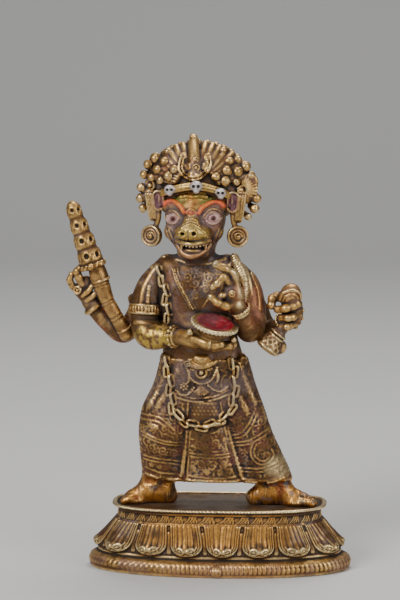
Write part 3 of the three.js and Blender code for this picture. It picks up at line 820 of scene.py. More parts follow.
def skirt_drawing():
    """The tooled bands and scrolls on the front of the skirt."""
    drawing = Drawing((-50, 38), (50, 106))
    drawing.lines([
        [(-36.6, 67.6), (-29.2, 64.7), (-22, 62.8), (-15.4, 62)], [(-35.8, 65.9), (-29, 63.2), (-21.8, 61.4), (-15.6, 60.6)],
        [(-35.6, 55.6), (-27, 54.2), (-17.7, 52.8)], [(-35.6, 53.8), (-27, 52.5), (-17.7, 51)],
        [(6, 62.4), (14, 63.9), (23.4, 68.8), (27, 71)], [(6.4, 60.8), (14.2, 62.2), (23.8, 67), (27.6, 69.4)],
        [(9, 50.6), (14, 50), (21.2, 50.6), (31, 54.4)], [(9.4, 48.9), (14.4, 48.3), (21.8, 48.9), (32, 52.8)],
        LEFT_TRIM, [(x - 1.7, z) for x, z in LEFT_TRIM], RIGHT_TRIM, [(x + 1.9, z - 0.4) for x, z in RIGHT_TRIM],
        [(-16.6, 62), (-17, 54.4), (-17.7, 45.4)],
        [(-13.2, 57.4), (-3.4, 56.6), (5.4, 57.4)], [(-13.3, 55.9), (-3.4, 55.2), (5.6, 56)],
        [(-37, 75.4), (-31, 75.2), (-26.4, 74), (-20.4, 68.6)], [(-37, 73.2), (-31, 73), (-27, 72), (-21.6, 67)],
        [(6.1, 66.1), (10.4, 67.4), (14, 71.3), (16.2, 75.7), (17.8, 79)],
        [(7.6, 64.6), (12, 66.2), (15.6, 70.6), (17.8, 75), (19.2, 78)],
        [(16.4, 62.4), (15.2, 58.8), (16, 55.4), (18.4, 52.9), (21.4, 52.2), (24.6, 53.6), (26.4, 56.4), (25.2, 59.2)],
        [(18, 62.2), (16.9, 58.8), (17.6, 56.2), (19.6, 54.4), (21.8, 54), (23.8, 55.2), (24.6, 56.8), (23.6, 58)],
    ], 0.5, 0.4)
    drawing.lines([
        [(-34.6, 49.6), (-27, 47.3), (-18.4, 46.4)], [(12, 44.7), (21.2, 44.2), (28.4, 45.8), (34, 48.6)],
        [(-14.6, 46.6), (-9, 46), (-3.3, 45.3), (3.2, 45.5), (8.8, 46.4)],
    ], 0.55, 0.42)
    for x, z, size, start, hand in [
        (-24.9, 69.3, 2.6, 200, 1), (-30.4, 70.2, 1.9, 20, -1), (-20.2, 65.9, 1.5, 90, 1),
        (-31.6, 60, 2.3, 150, 1), (-26.1, 58.6, 2.3, -20, -1), (-20.8, 57.4, 2, 170, 1),
        (-31.4, 51, 1.2, 0, 1), (-28, 50.2, 1.2, 180, -1), (-24.4, 49.6, 1.3, 0, 1), (-20.8, 48.8, 1.2, 180, -1),
        (-9.6, 62, 2.2, 200, 1), (-0.8, 62.8, 2.2, -20, -1), (-5.3, 65.4, 1.6, 90, 1), (-5.6, 60, 1.5, 270, -1),
        (-2.8, 51.4, 2.4, 30, 1), (-8.2, 52, 2.2, 160, -1), (2.6, 52.4, 1.9, 200, 1), (-11.6, 50.2, 1.4, 90, 1),
        (5.2, 49.4, 1.5, 20, -1), (-5.6, 48.4, 1.2, 250, 1), (0.6, 48.2, 1.2, 120, -1),
        (10.2, 69.9, 2, 210, 1), (8.4, 74.2, 1.6, 40, -1), (20.2, 72.6, 2.3, 100, -1), (23.4, 68.2, 0.9, 0, 1),
        (17.8, 77, 1.6, 260, 1), (21, 77.4, 1.4, 90, 1), (19.8, 61.4, 2, 250, 1), (22.4, 57.4, 1.3, 30, -1),
        (11.4, 57, 2.3, 20, 1), (12.4, 53.2, 1.5, 220, -1), (24.6, 62.6, 2, 60, -1), (28.4, 59.4, 1.7, 220, 1),
        (28.2, 64.6, 1.3, 140, 1), (15.2, 46.9, 1.2, 180, 1), (19, 46.8, 1.2, 0, -1), (23, 47.2, 1.3, 180, 1),
        (27.2, 48.6, 1.4, 20, -1), (31, 50.4, 1.2, 200, 1), (9.6, 46.4, 0.9, 90, 1),
    ]:
        drawing.scroll(x, z, size, start, hand)
    for side, x, z in [(1, -29.4, 77.4), (1, -32, 80.2), (-1, -26, 79.4), (1, -28, 83), (-1, -24.4, 84.6),
                       (-1, 13.2, 80), (1, 15.6, 83.6), (-1, 12.6, 86.6), (1, 14.6, 90.4), (-1, 11.6, 93.4)]:
        drawing.scroll(x, z, 1.5, 90 + side * 60, side, width=0.42, height=0.26, leaves=3)
    for x, z, size in [(-16.2, 89.6, 2.6), (-25.4, 78, 1.4), (21.6, 64.9, 1.4)]:
        drawing.flower(x, z, size)
    for i in range(9):
        for k in range(5):
            x, z = -13 + i * 1.85 + (k % 2) * 0.9, 76.2 + k * 1.7
            drawing.boss(x, z, 0.55, 0.22)
    drawing.tendrils(3.0, 0.3, 241, keep_out=drawing.oval(-6, 76.5, 11.5, 8))
    return drawing


def back_drawing():
    """Plain bands and a few scrolls on the back of the skirt."""
    drawing = Drawing((-50, 38), (50, 106))
    drawing.lines([
        [(-36, 55.4), (-24, 53), (-8, 52), (8, 51.6), (22, 51.6), (33, 55)],
        [(-36, 53.6), (-24, 51.3), (-8, 50.3), (8, 49.9), (22, 49.8), (33, 53.2)],
        [(-36, 49), (-24, 46.6), (-8, 45.6), (8, 45.2), (22, 45.2), (34, 48.6)],
        [(-38, 67.6), (-24, 64), (-6, 62.6), (10, 63), (26, 69)],
    ], 0.5, 0.36)
    for i in range(7):
        drawing.scroll(-28 + i * 9, 58.2 - 0.2 * i, 2, 90, 1 if i % 2 else -1, height=0.28)
    drawing.tendrils(3.6, 0.16, 242)
    return drawing


def put_links(clay, skin, line, pitch=LINK_PITCH, tilt=12, sway=0.9, swing=1):
    """A chain along a line: long links lie flat, and rings on edge between them bulge to one side."""
    path = smooth_path(line, 10)
    run = np.concatenate([[0], np.cumsum(np.linalg.norm(np.diff(path[:, :2], axis=0), axis=1))])
    count = int(round(run[-1] / pitch))
    for i in range(count + 1):
        at = run[-1] * i / count
        x, z = np.interp(at, run, path[:, 0]), np.interp(at, run, path[:, 1])
        ahead = min(at + 0.5, run[-1])
        behind = max(at - 0.5, 0)
        dx = np.interp(ahead, run, path[:, 0]) - np.interp(behind, run, path[:, 0])
        dz = np.interp(ahead, run, path[:, 1]) - np.interp(behind, run, path[:, 1])
        on_edge = i % 2
        turn = math.radians(tilt if on_edge else -tilt)
        along = np.array((dx * math.cos(turn) - dz * math.sin(turn), 0, dx * math.sin(turn) + dz * math.cos(turn)))
        side = unit((-dz, 0, dx)) * swing
        place = np.array((x, 0, z)) + side * (sway if on_edge else -sway)
        depth = clay.depth_at(skin, place[0], place[2])
        if math.isnan(depth):
            continue
        out = (0, -1, 0) + side * (1.1 if on_edge else -0.2)
        centre = place + (0, depth - (1.1 if on_edge else 0.75), 0)
        half_length, half_width, wire = (2.9, 1.45, 0.72) if on_edge else (2.75, 0.98, 0.74)
        clay.add(link(centre, along, out, half_length, half_width, wire))


def foot(clay, heel_x, toe_x, y, ankle_x):
    """A bare foot turned out to the side: ankle, instep, five toes and a broad sole."""
    step = (toe_x - heel_x) / 4
    side = math.copysign(1, step)
    clay.add(rod((ankle_x - side * 0.4, y, SOLE + 6), (ankle_x - side * 0.8, y, HEM + 5), 6, 6.6), 2)
    clay.add(rod((ankle_x + side * 7, y, SOLE + 4.4), (ankle_x + side * 2.4, y, HEM + 2), 4.4, 6), 2)
    tube(clay, [(heel_x - side * 1.4, y, SOLE + 3, 4), (heel_x + step * 0.5, y - 0.2, SOLE + 4.8, 5.4),
                (heel_x + step * 1.4, y - 0.4, SOLE + 5.4, 5.6), (heel_x + step * 2.3, y - 1, SOLE + 3.4, 4.6),
                (heel_x + step * 3.1, y - 1.4, SOLE + 2, 3.6)], 2.4)
    clay.add(ball((heel_x + step * 2.7, y - 1.4, SOLE + 1.4), (abs(step) * 0.9, 6, 2.2)), 2)
    for i in range(5):
        spread = (i - 2) * 2.15
        reach = toe_x - step * (0.08 + 0.13 * abs(i - 1.4) ** 1.2)
        size = 1.75 if i == 0 else 1.35
        tube(clay, [(heel_x + step * 2.9, y - 1.4 + spread * 0.9, SOLE + 2.4, size),
                    (reach - step * 0.25, y - 1.4 + spread * 1.1, SOLE + 1.9, size),
                    (reach, y - 1.4 + spread * 1.15, SOLE + 1, size * 0.86)], 0.5)


def skirt_and_legs(material):
    """The wrapped and tooled skirt with its belt and chain, and the two feet below."""
    clay = Clay((-52, -25, 30), (52, 15, 109), BODY_STEP)
    clay.add(loft(BENT_LEG))
    clay.add(loft(STRAIGHT_LEG), 3)
    clay.add(loft(BETWEEN), 3)
    clay.add(loft(FRONT_PANEL), 0.8)
    clay.add(ball((-26, -7, 66), (10, 8, 9)), 4)
    clay.cut(rod((-24, -2, 37), (22, -2, 36), 6, 6), 1)
    foot(clay, -25.4, -46.8, -1, -28)
    foot(clay, 18, 46.4, -1.6, 24.4)
    ground = DECK_HEIGHT - 0.05
    clay.cut((np.array((-60, -40, 28)), np.array((60, 20, ground)), lambda x, y, z: z - ground + 0 * x + 0 * y))
    folds = Relief(clay)
    folds.line([(-17.6, 46, 0.9), (-15.4, 58, 0.9), (-14, 70, 0.7)], rows=5, blend=0.8)
    folds.line([(11.6, 45, 1), (7.4, 57, 1), (3.6, 70, 0.8)], rows=5, blend=0.8)
    for line in ([(-23, 100), (-27, 90), (-32.5, 79)], [(-19, 97), (-24.5, 86), (-28.6, 79.6)],
                 [(9.4, 100), (13, 90), (17, 81)], [(7, 90), (11.4, 82), (13.6, 77)]):
        folds.line([(x, z, 0.9) for x, z in line], lift=-0.5, rows=5, blend=1.6)
    for x, z in ((-25.2, 101.4), (10.4, 101)):
        clay.add(ball((x, -5, z), (2.8, 4, 3.4)), 1)
        clay.add(ball((x, -6, z - 5), (2.2, 3, 2.6)), 1)
    emboss(clay, skirt_drawing())
    emboss(clay, back_drawing(), back=True)
    for low, high, width in [((-34.9, 46.7), (-17.8, 44.2), 0.9), ((-15.2, 44.4), (9.9, 44), 0.8), ((12.4, 43.4), (34.6, 46.8), 0.9)]:
        middle = ((low[0] + high[0]) / 2, min(low[1], high[1]) - 0.1)
        Relief(clay).line([low, middle, high], width * 0.62, rows=6, blend=0.5)
    belt(clay)
    put_clay("skirt_and_legs", clay, paint_skirt, material)


def belt(clay):
    """The sash, the belt's rosettes and swags, the bordered apron, and the chain that hangs over them."""
    relief = Relief(clay)
    relief.line([(-20, 105.6, 1.8), (-13, 104.4, 2), (-8, 102.4, 2.1), (-3, 104.6, 2), (4, 106, 1.6)], rows=5, blend=0.8)
    relief.line([(-15.6, 101, 1), (-10.4, 99, 1.2), (-6, 99.2, 1.2), (-1.4, 101.4, 1)], rows=5, blend=0.6)
    for line in ([(-12.6, 105.8), (-9.6, 102.2)], [(-7.6, 105.4), (-7, 101.6)], [(-3.4, 105.8), (-5.2, 102)]):
        relief.line(line, 0.42, 1.6, rows=5, sunk=True)
    relief = Relief(clay)
    relief.line([(-20.6, 84.8), (-13.4, 82.6), (-7.6, 82.2), (-1.8, 83.2), (4.6, 86)], 0.5, 0.1, rows=6)
    relief.line([(-20.4, 86.6), (-13.4, 84.2), (-7.6, 83.8), (-1.8, 84.8), (4.2, 87.8)], 0.42, 0.1, rows=6)
    relief.line([(-14.2, 82), (-14.6, 75.2)], 0.4, rows=6)
    relief.line([(1.2, 82.6), (1.8, 76.6)], 0.4, rows=6)
    for line in ([(-15, 98.2), (-12.2, 92.8), (-7.6, 90.8), (-3.2, 92.8), (-0.4, 98.6)],
                 [(-19.8, 87.8), (-17, 85.8), (-13.6, 86.2), (-11.4, 89)], [(-4.8, 90.2), (-1.4, 87.8), (1.8, 87.6), (4.6, 89.6)]):
        relief.beads(line, 0.62, 1.25, 0.35)
    for x, z, size in [(-14.4, 100.6, 1.7), (-0.2, 103, 1.9), (-8, 96.2, 3.1)]:
        relief.rosette(x, z, size)
    relief.rosette(-16, 89.8, 1.6, 7)
    relief.rosette(-0.6, 94.4, 1.3, 6)
    for i in range(7):
        angle = math.radians(-90 + (i - 3) * 15)
        relief.line([(-8, 90, 0.35), (-8 + 4.6 * math.cos(angle), 90 + 4.6 * math.sin(angle), 0.55)], lift=0.2, rows=4)
    for x in (-14, -0.4):
        relief.line([(x, 97.4, 0.6), (x + 0.4, 93.6, 0.9), (x - 0.2, 91.6, 0.5)], lift=0.2, rows=4)
    skin = clay.surface()
    put_links(clay, skin, BELT_CHAIN)
    centre = clay.depth_at(skin, -3.4, 71.4)
    clay.add(rod((-6.6, centre - 1.6, 70.9), (0.4, centre - 1.6, 72.3), 1.0, 1.0))


def paint_skirt(finish):
    """Brown cloth with gilt tooling, purplish film above, worn red lacquer, orange-gold feet, and a painted highlight
    on the right leg.
    """
    low = 1 - smoothstep(70, 92, finish.z)
    finish.cast(film=0.5, gold=0.95, warm=0.35, seed=11)
    cloud = noise(finish.points, 6.0, 15)
    finish.lay(smoothstep(72, 90, finish.z) * smoothstep(0.3, 0.62, cloud) * 0.6, FILM, 0.6, 0.55)
    finish.lay(low * smoothstep(0.5, 0.72, noise(finish.points, 4.0, 16)) * 0.35
               * smoothstep(0.2, -0.1, finish.relief), (122, 56, 48), 0.55, 0.5)
    finish.lay(finish.blob(-7.6, 102.6, 6, 3.4, front=-8) * 0.7, GOLD, 0.34, 1)
    # painted highlight: a pale gold patch on the front of the right leg
    finish.lay(finish.blob(29, 51, 7, 5, front=2) * 0.4, HIGHLIGHT_GOLD, 0.34, 1)
    feet = 1 - smoothstep(43, 45.5, finish.z)
    rub = noise(finish.points, 3.2, 17)
    finish.lay(feet * smoothstep(0.3, 0.6, rub) * 0.85, WARM_GOLD, 0.36, 1)
    finish.lay(feet * smoothstep(0.58, 0.74, noise(finish.points, 4.6, 18)) * 0.7, (150, 84, 50), 0.45, 0.9)
    finish.lay(feet * smoothstep(0.62, 0.76, noise(finish.points, 2.6, 19)) * 0.6, COOL_FILM, 0.55, 0.6)


# Torso and the two front arms

TORSO = [(97, -8, -2, 19.6, 12), (103, -8, -2, 19, 11.6), (113, -9.2, -2.4, 17.6, 11.2), (124, -9.5, -2.6, 18.8, 11.4),
         (134, -9.5, -2.4, 20.6, 11.4), (142, -10, -2, 18.6, 9.8), (148.6, -10.4, -2, 13, 8.4), (151.6, -10.6, -3, 8.8, 7.4),
         (157, -10.6, -4, 8.2, 7.2)]
CUP_SLEEVE = [(-24.5, -2, 145.4, 5.2), (-31.6, -3, 136.6, 6.6), (-34.6, -3.8, 129, 7), (-35, -4.2, 123.6, 7.2)]
CUP_FOREARM = [(-34.8, -4.4, 121.6, 6.4), (-34.6, -5.6, 116.6, 7), (-32, -8.4, 112.9, 6.8), (-26.5, -12, 113, 5.6),
               (-22.2, -14.9, 113.5, 4.4), (-17.6, -18, 114, 3.5)]
GESTURE_SLEEVE = [(3.6, -2, 145.6, 5.2), (11.8, -3, 137, 6.6), (14.4, -4, 128, 7.2), (14.8, -5.2, 121, 7.4)]
GESTURE_FOREARM = [(14.8, -5.6, 119.6, 7), (14.6, -9.6, 116.8, 6.6), (12.8, -15, 120.4, 5), (10.4, -18.6, 126, 4.2),
                   (9, -20.4, 129.4, 3.6)]
CUP_MIDDLE = np.array((-1.3, -21.4, 120.4))
CUP_AXIS = unit((0.21, -0.26, 0.94))
CUP_RIM = 9.9
SHOULDER_CHAIN = [(-28.9, 148), (-28.4, 143.4), (-26.2, 140), (-25.4, 135.8), (-24.4, 131.6), (-24.2, 126.4), (-23.4, 121.2)]
BEAD_STRING = [(-20.6, 145), (-19.4, 141), (-16.4, 134.8), (-11.9, 126.6)]
RIBBED_BAND = [(7, -6, 150.4, 1.7), (8.8, -10, 146.8, 1.9), (11, -13.6, 143.6, 2), (12.2, -15.4, 139.4, 2.1),
               (12.3, -16.6, 135.2, 2), (11.4, -18, 130.6, 1.6)]


def finger(clay, points, size=1.9):
    """A finger with its joints a little thicker than the bones between them."""
    points = np.array(points, float)
    line = []
    for i, at in enumerate(points):
        joint = 1.0 if i in (0, len(points) - 1) else 1.08
        line.append((*at, size * joint * (1 - 0.12 * i / (len(points) - 1))))
        if i < len(points) - 1:
            line.append((*((at + points[i + 1]) / 2), size * 0.94 * (1 - 0.12 * (i + 0.5) / (len(points) - 1))))
    tube(clay, line, 0.5, rows=3)


def skull_cup(clay):
    """The open cup on its foot ring, filled to a little under its beaded rim."""
    clay.add(turning(CUP_MIDDLE, CUP_AXIS, [(-6.6, 2), (-6, 4.6), (-4.6, 6.8), (-2.4, 8.6), (0, CUP_RIM), (1.3, CUP_RIM)]), 0.6)
    clay.cut(ball(CUP_MIDDLE + CUP_AXIS * 3.4, (CUP_RIM - 0.7, CUP_RIM - 0.7, 3.6), (14, 10, 0)), 0.4)
    clay.add(ring(CUP_MIDDLE + CUP_AXIS * 0.6, CUP_AXIS, CUP_RIM, 0.7))
    bead_ring(clay, CUP_MIDDLE + CUP_AXIS * 0.2, CUP_AXIS, CUP_RIM + 0.8, 0.86, 1.85)
    clay.add(ring(CUP_MIDDLE - CUP_AXIS * 5.2, CUP_AXIS, 5.6, 0.7))
    clay.add(ring(CUP_MIDDLE - CUP_AXIS * 6.4, CUP_AXIS, 4.4, 0.8))


def hand_under_cup(clay):
    """The right hand palm up under the cup, with its fingers to the other side."""
    clay.add(ball((-13.4, -19.6, 113.2), (7, 5, 3.8), (0, 16, -20)), 1.4)
    for i, (reach, drop) in enumerate([(1.6, 0), (5.4, 1.2), (7.2, 0.9), (6.4, 2.2)]):
        y = -24.2 + i * 2.8
        finger(clay, [(-11, y + 0.6, 114 - drop), (-5, y - 0.8, 112 - drop), (-1, y - 0.5, 111.1 - drop),
                      (reach, y, 111.6 - drop)], 2.2)
    finger(clay, [(-17, -20.6, 115.4), (-14, -23.6, 116), (-12.4, -25.6, 117.4)], 1.9)
    clay.add(ball((7.4, -21.4, 113.4), 1.6), 0.3)
    clay.add(ring((-3.4, -25, 111.7), (1, 0.1, -0.2), 2.35, 0.45))


def raised_hand(clay):
    """The left hand before the chest, palm out: two fingers up, the others folded and the thumb across."""
    clay.add(ball((6.8, -20.4, 134.4), (5.4, 3.6, 7), (0, -12, 0)), 1)
    finger(clay, [(8.6, -20.6, 138.6), (7.4, -21.6, 144.2), (3.6, -23.6, 147), (-0.6, -24, 149)], 2.15)
    finger(clay, [(6, -21.4, 139.6), (3, -24.6, 143.2), (0.2, -25.4, 140.4), (-1.8, -25, 138.8)], 2.0)
    finger(clay, [(7, -22.4, 129.4), (3.8, -24.6, 129.6), (0.4, -25, 131.2), (-2.8, -24.2, 133.8)], 2.1)
    finger(clay, [(4.6, -22, 135), (2.4, -23.4, 134.4), (1, -23.4, 133.4)], 1.7)
    tube(clay, [(-4.4, -23.4, 132.2, 0.7), (-6.8, -19, 128.2, 0.6)], 0.3)
    clay.add(ball((7.8, -21.4, 129.6), (3.4, 2.8, 3)), 1)
    for line in ([(4.6, -24.3, 131.6), (8, -24.4, 133.4), (10, -23.4, 137)], [(5, -24.3, 134), (7.4, -24.4, 135.8), (8.8, -23.6, 138.6)]):
        tube(clay, [(*at, 0.34) for at in line], cut=True)
    Relief(clay).rosette(7, 135.4, 1.7)


def chest_drawing():
    """Scrolls on the chest, the neckline, folds of the sleeves and the belly line."""
    drawing = Drawing((-46, 96), (26, 154))
    for x, z, size, start, hand in [(-14.6, 141.4, 2.4, 200, 1), (-8.6, 143.8, 2.2, -10, -1), (-10.8, 138.4, 2.2, 120, 1),
                                    (-4.4, 141, 2.3, 60, 1), (-14.6, 135.6, 1.7, 250, -1), (-6, 135.8, 2, 200, -1),
                                    (0.2, 143.6, 1.7, 0, 1), (-10.4, 132.6, 1.7, 20, 1), (-17, 141, 1, 90, 1)]:
        drawing.scroll(x, z, size, start, hand, width=0.42, height=0.32)
    drawing.lines([[(x - 1.1, z) for x, z in BEAD_STRING], [(x + 1.2, z + 0.3) for x, z in BEAD_STRING]], 0.4, 0.4)

    drawing.lines([[(-20, 149.2), (-14, 147.4), (-9, 147), (-4, 147.6), (3, 149.6)]], 0.6, 0.4)
    drawing.lines([[(-30, 146), (-35.4, 136), (-36.8, 128)], [(15.4, 143), (18.4, 135), (19.6, 126)],
                   [(8.6, 149), (13.6, 142), (15.4, 133)], [(-39.4, 119.4), (-33, 119.6), (-25, 118.4)]], 1.1, 0.4)
    drawing.lines([[(-32, 143), (-36, 134)], [(13.4, 146), (17.4, 136), (18.4, 128)]], 0.5, -0.3)
    for i in range(6):
        drawing.boss(-32.8 - 0.1 * i, 136.4 - 1.45 * i, 0.75 + 0.25 * (i % 2), 0.6)
    for x, z in ((-30.8, 148.6), (7.2, 149.8)):
        drawing.lines([[(x - 1.6, z - 3), (x + 0.6, z + 1), (x + 5, z + 2.6)]], 1.3, 0.7)
    drawing.tendrils(2.6, 0.2, 243, keep_out=1 - drawing.oval(-6, 140, 12, 8))
    drawing.tendrils(1.6, 0.12, 244, keep_out=1 - drawing.oval(-30, 113, 10, 6))
    return drawing


def torso_and_front_arms(material):
    """Belly and chest, the front arms with the cup and the raised hand, and the chain on the shoulder."""
    clay = Clay((-47, -33, 96), (26, 15, 157.5), BODY_STEP)
    clay.add(loft(TORSO))
    for at, size in (((-18, -8, 137.4), (8.4, 5, 7)), ((-1.6, -8, 137.4), (8.4, 5, 7)), ((-9.4, -6.6, 114.6), (13, 8, 9)),
                     ((-23, -3, 145), (6.4, 6.6, 5.6)), ((3.4, -3, 145), (6.4, 6.6, 5.6))):
        clay.add(ball(at, size), 3)
    tube(clay, CUP_FOREARM, 1.6)
    tube(clay, GESTURE_FOREARM, 1.6)
    tube(clay, CUP_SLEEVE, 1.2)
    tube(clay, GESTURE_SLEEVE, 1.2)
    emboss(clay, chest_drawing(), reach=4)
    hem = Drawing((-46, 96), (26, 154))
    hem.lines([[(-24, 149), (-18, 144), (-9, 141.6), (0, 144), (5, 149)], [(-30, 109), (-20, 107), (-9, 106), (2, 107), (12, 109)],
               [(-9.4, 140), (-9.4, 112)]], 0.8, 0.4)
    emboss(clay, hem, back=True)
    armlet = unit((-0.06, -0.14, -1))
    clay.add(ring((-34.9, -4.2, 126.6), armlet, 7.3, 0.6))
    clay.add(ring((-35, -4.3, 122.9), armlet, 7.5, 0.7))
    for rise in (-0.55, 0, 0.55):
        bead_ring(clay, (-34.95, -4.2, 124.8 + rise), armlet, 7.5, 0.74, 1.62)
    forward = unit((8.9, -6, 0.7))
    bead_ring(clay, (-20.8, -15.8, 113.6), forward, 4.5, 1.12, 2.1)
    for middle in ((-22.4, -14.8, 113.5), (-19.3, -16.8, 113.7)):
        clay.add(ring(middle, forward, 4.3, 0.55))
    wrist = unit((-1.9, -2.2, 4.4))
    bead_ring(clay, (10.1, -19, 127.2), wrist, 4.9, 0.82, 1.6)
    clay.add(ring((10.5, -18.6, 126), wrist, 4.9, 0.55))
    clay.add(ball((-41, -1.4, 129.4), (2.6, 4, 2.2)), 1.6)
    tube(clay, RIBBED_BAND, 0.5, rows=5)
    path = smooth_path(RIBBED_BAND, 8)
    for a, b in zip(path[1::2], path[2::2]):
        clay.add(ring(a[:3], b[:3] - a[:3], a[3] + 0.05, 0.5))
    Relief(clay).beads(BEAD_STRING, 0.56, 1.15, 0.3)
    put_links(clay, clay.surface(), SHOULDER_CHAIN, pitch=4.5, sway=1.1)
    skull_cup(clay)
    hand_under_cup(clay)
    raised_hand(clay)
    put_clay("torso_and_front_arms", clay, paint_torso, material)


def paint_torso(finish):
    """Purplish chest and sleeves, coppery left sleeve, stippled gold forearm, red lacquer in the cup, and painted
    highlights on the ribbed band, the shoulder chain and the cup's beaded rim.
    """
    finish.cast(film=0.75, gold=0.85, warm=0.2, seed=31)
    cloud = noise(finish.points, 4.0, 35)
    chest = finish.blob(-9, 138, 13, 12, front=-4)
    finish.lay(chest * smoothstep(0.35, 0.6, cloud) * 0.4 * smoothstep(0.3, 0, finish.relief), COOL_FILM, 0.58, 0.55)
    finish.lay(finish.blob(-10, 152, 12, 5) * 0.55, (92, 92, 102), 0.55, 0.6)
    sleeve = finish.blob(15.6, 132, 7.4, 13, front=8)
    finish.lay(sleeve * smoothstep(0.25, 0.6, cloud) * 0.55, (176, 112, 82), 0.45, 0.9)
    forearm = finish.blob(-31, 112.8, 8.6, 6, front=4)
    finish.lay(forearm * smoothstep(0.28, 0.6, noise(finish.points, 1.6, 36)) * 0.9, (208, 176, 84), 0.36, 1)
    finish.lay(finish.blob(-9, 112.4, 12, 4, front=-14) * 0.35, GOLD, 0.36, 1)
    # painted highlight: pale gold on the raised ribs of the band and on the shoulder chain
    band = finish.along([(x, z) for x, _, z, _ in RIBBED_BAND], 2.6, front=-3)
    finish.lay(band * smoothstep(-0.1, 0.3, finish.relief) * 0.8, HIGHLIGHT_GOLD, 0.32, 1)
    finish.lay(finish.along(SHOULDER_CHAIN, 3, front=-6) * smoothstep(0, 0.4, finish.relief) * 0.75, HIGHLIGHT_GOLD, 0.32, 1)
    offset = finish.points - CUP_MIDDLE.astype(np.float32)
    height = offset @ CUP_AXIS.astype(np.float32)
    away = np.sqrt(np.maximum((offset * offset).sum(1) - height * height, 0))
    inside = (1 - smoothstep(CUP_RIM - 1.3, CUP_RIM - 0.9, away)) * smoothstep(-2.2, -1.4, height) * (1 - smoothstep(2, 3, height))
    finish.lay(inside, LACQUER, 0.42, 0.0)
    worn = smoothstep(0.35, 0.7, noise(finish.points, 2.6, 37) + (-finish.x - 2) * 0.05 + (height + 0.5) * 0.1)
    finish.lay(inside * worn * 0.75, (112, 62, 66), 0.55, 0.1)
    finish.lay(inside * smoothstep(0.6, 0.7, noise(finish.points, 1.2, 38)) * 0.4, (196, 96, 104), 0.5, 0)
    # painted highlight: near-white on the raised beads of the cup's rim
    rim_highlight = (1 - smoothstep(1.0, 1.7, length_of(away - CUP_RIM - 0.7, height - 0.3)))
    finish.lay(rim_highlight * smoothstep(0.1, 0.5, finish.relief) * 0.9, (240, 222, 176), 0.34, 0.9)


# The two arms behind: one with the skull club, one with the mace

CLUB_ARM = [(-22, 2.6, 142, 6), (-29.6, 5.4, 134.4, 5.8), (-36.4, 7, 126, 5.4), (-42.6, 6.8, 115.6, 5.2), (-47, 5.2, 112.2, 5.2),
            (-53.6, 3, 117.6, 4.6), (-58.6, 1.8, 122.4, 3.8), (-62, 1.2, 126.6, 3.4)]
SHAFT = [(-57.8, -4, 143.2, 4.1), (-56.8, -4, 140, 4.4), (-55.2, -3.9, 134.6, 3.9), (-52.9, -3.6, 128.4, 3.4),
         (-49.2, -2.8, 121.4, 3.3), (-45.8, -1.8, 115.6, 3.6), (-44.2, -1.2, 112.6, 3.8)]
CONE_BASE = np.array((-60.2, -4.0, 146.4))
CONE_TIP = np.array((-69.8, -4.0, 175.0))
TIERS = 4
MACE_ARM = [(2, 2.6, 142, 6), (9.6, 6, 133.6, 5.8), (16.4, 8, 125, 5.4), (19.8, 8, 116.8, 5.4), (23.6, 5, 113.6, 5.2),
            (27.6, 0.4, 115.4, 4.4), (30, -3, 118.2, 3.8), (32.4, -5.6, 121.6, 3.4)]


def skull_cone(clay):
    """The cone of four tiers of skulls, with ringed eyes and grooves between the tiers."""
    axis = CONE_TIP - CONE_BASE
    length = np.linalg.norm(axis)
    frame = frame_of(axis)

    def radius_at(share):
        return 5.9 - 2.9 * share

    profile = [(-0.6, 4.6)]
    for i in range(TIERS * 2):
        share = i / (TIERS * 2)
        profile.append((share * length, radius_at(share) * (1.0 if i % 2 else 0.9)))
        profile.append(((share + 0.4 / TIERS / 2) * length, radius_at(share)))
    profile += [(length * 0.965, 2.8), (length * 1.0, 2.1), (length * 1.03, 0.6)]
    clay.add(turning(CONE_BASE, axis, profile), 0.5)
    for tier in range(TIERS):
        share = (tier + 0.52) / TIERS
        r = radius_at(share) * 0.98
        for face in (0, 120, 240):
            for side in (-1, 1):
                angle = math.radians(face - 90 - 8 + side * 31)
                out = frame[:, 0] * math.cos(angle) + frame[:, 1] * math.sin(angle)
                spot = CONE_BASE + axis * (share + (0.012 if side < 0 else -0.004)) + out * r
                size = 1.6 - 0.13 * tier
                clay.cut(ball(spot + out * 0.5, size), 0.3)
                clay.add(ring(spot - out * 0.4, out, size + 0.15, 0.52), 0.2)
            middle = math.radians(face - 98)
            out = frame[:, 0] * math.cos(middle) + frame[:, 1] * math.sin(middle)
            nose = CONE_BASE + axis * (share - 0.055) + out * r * 1.0
            clay.add(rod(nose, nose + axis * 0.05, 0.7, 0.5), 0.3)
    clay.add(ring(CONE_TIP - axis * 0.035 + (0.4, -2, 0), (0, -1, 0.2), 0.9, 0.4))


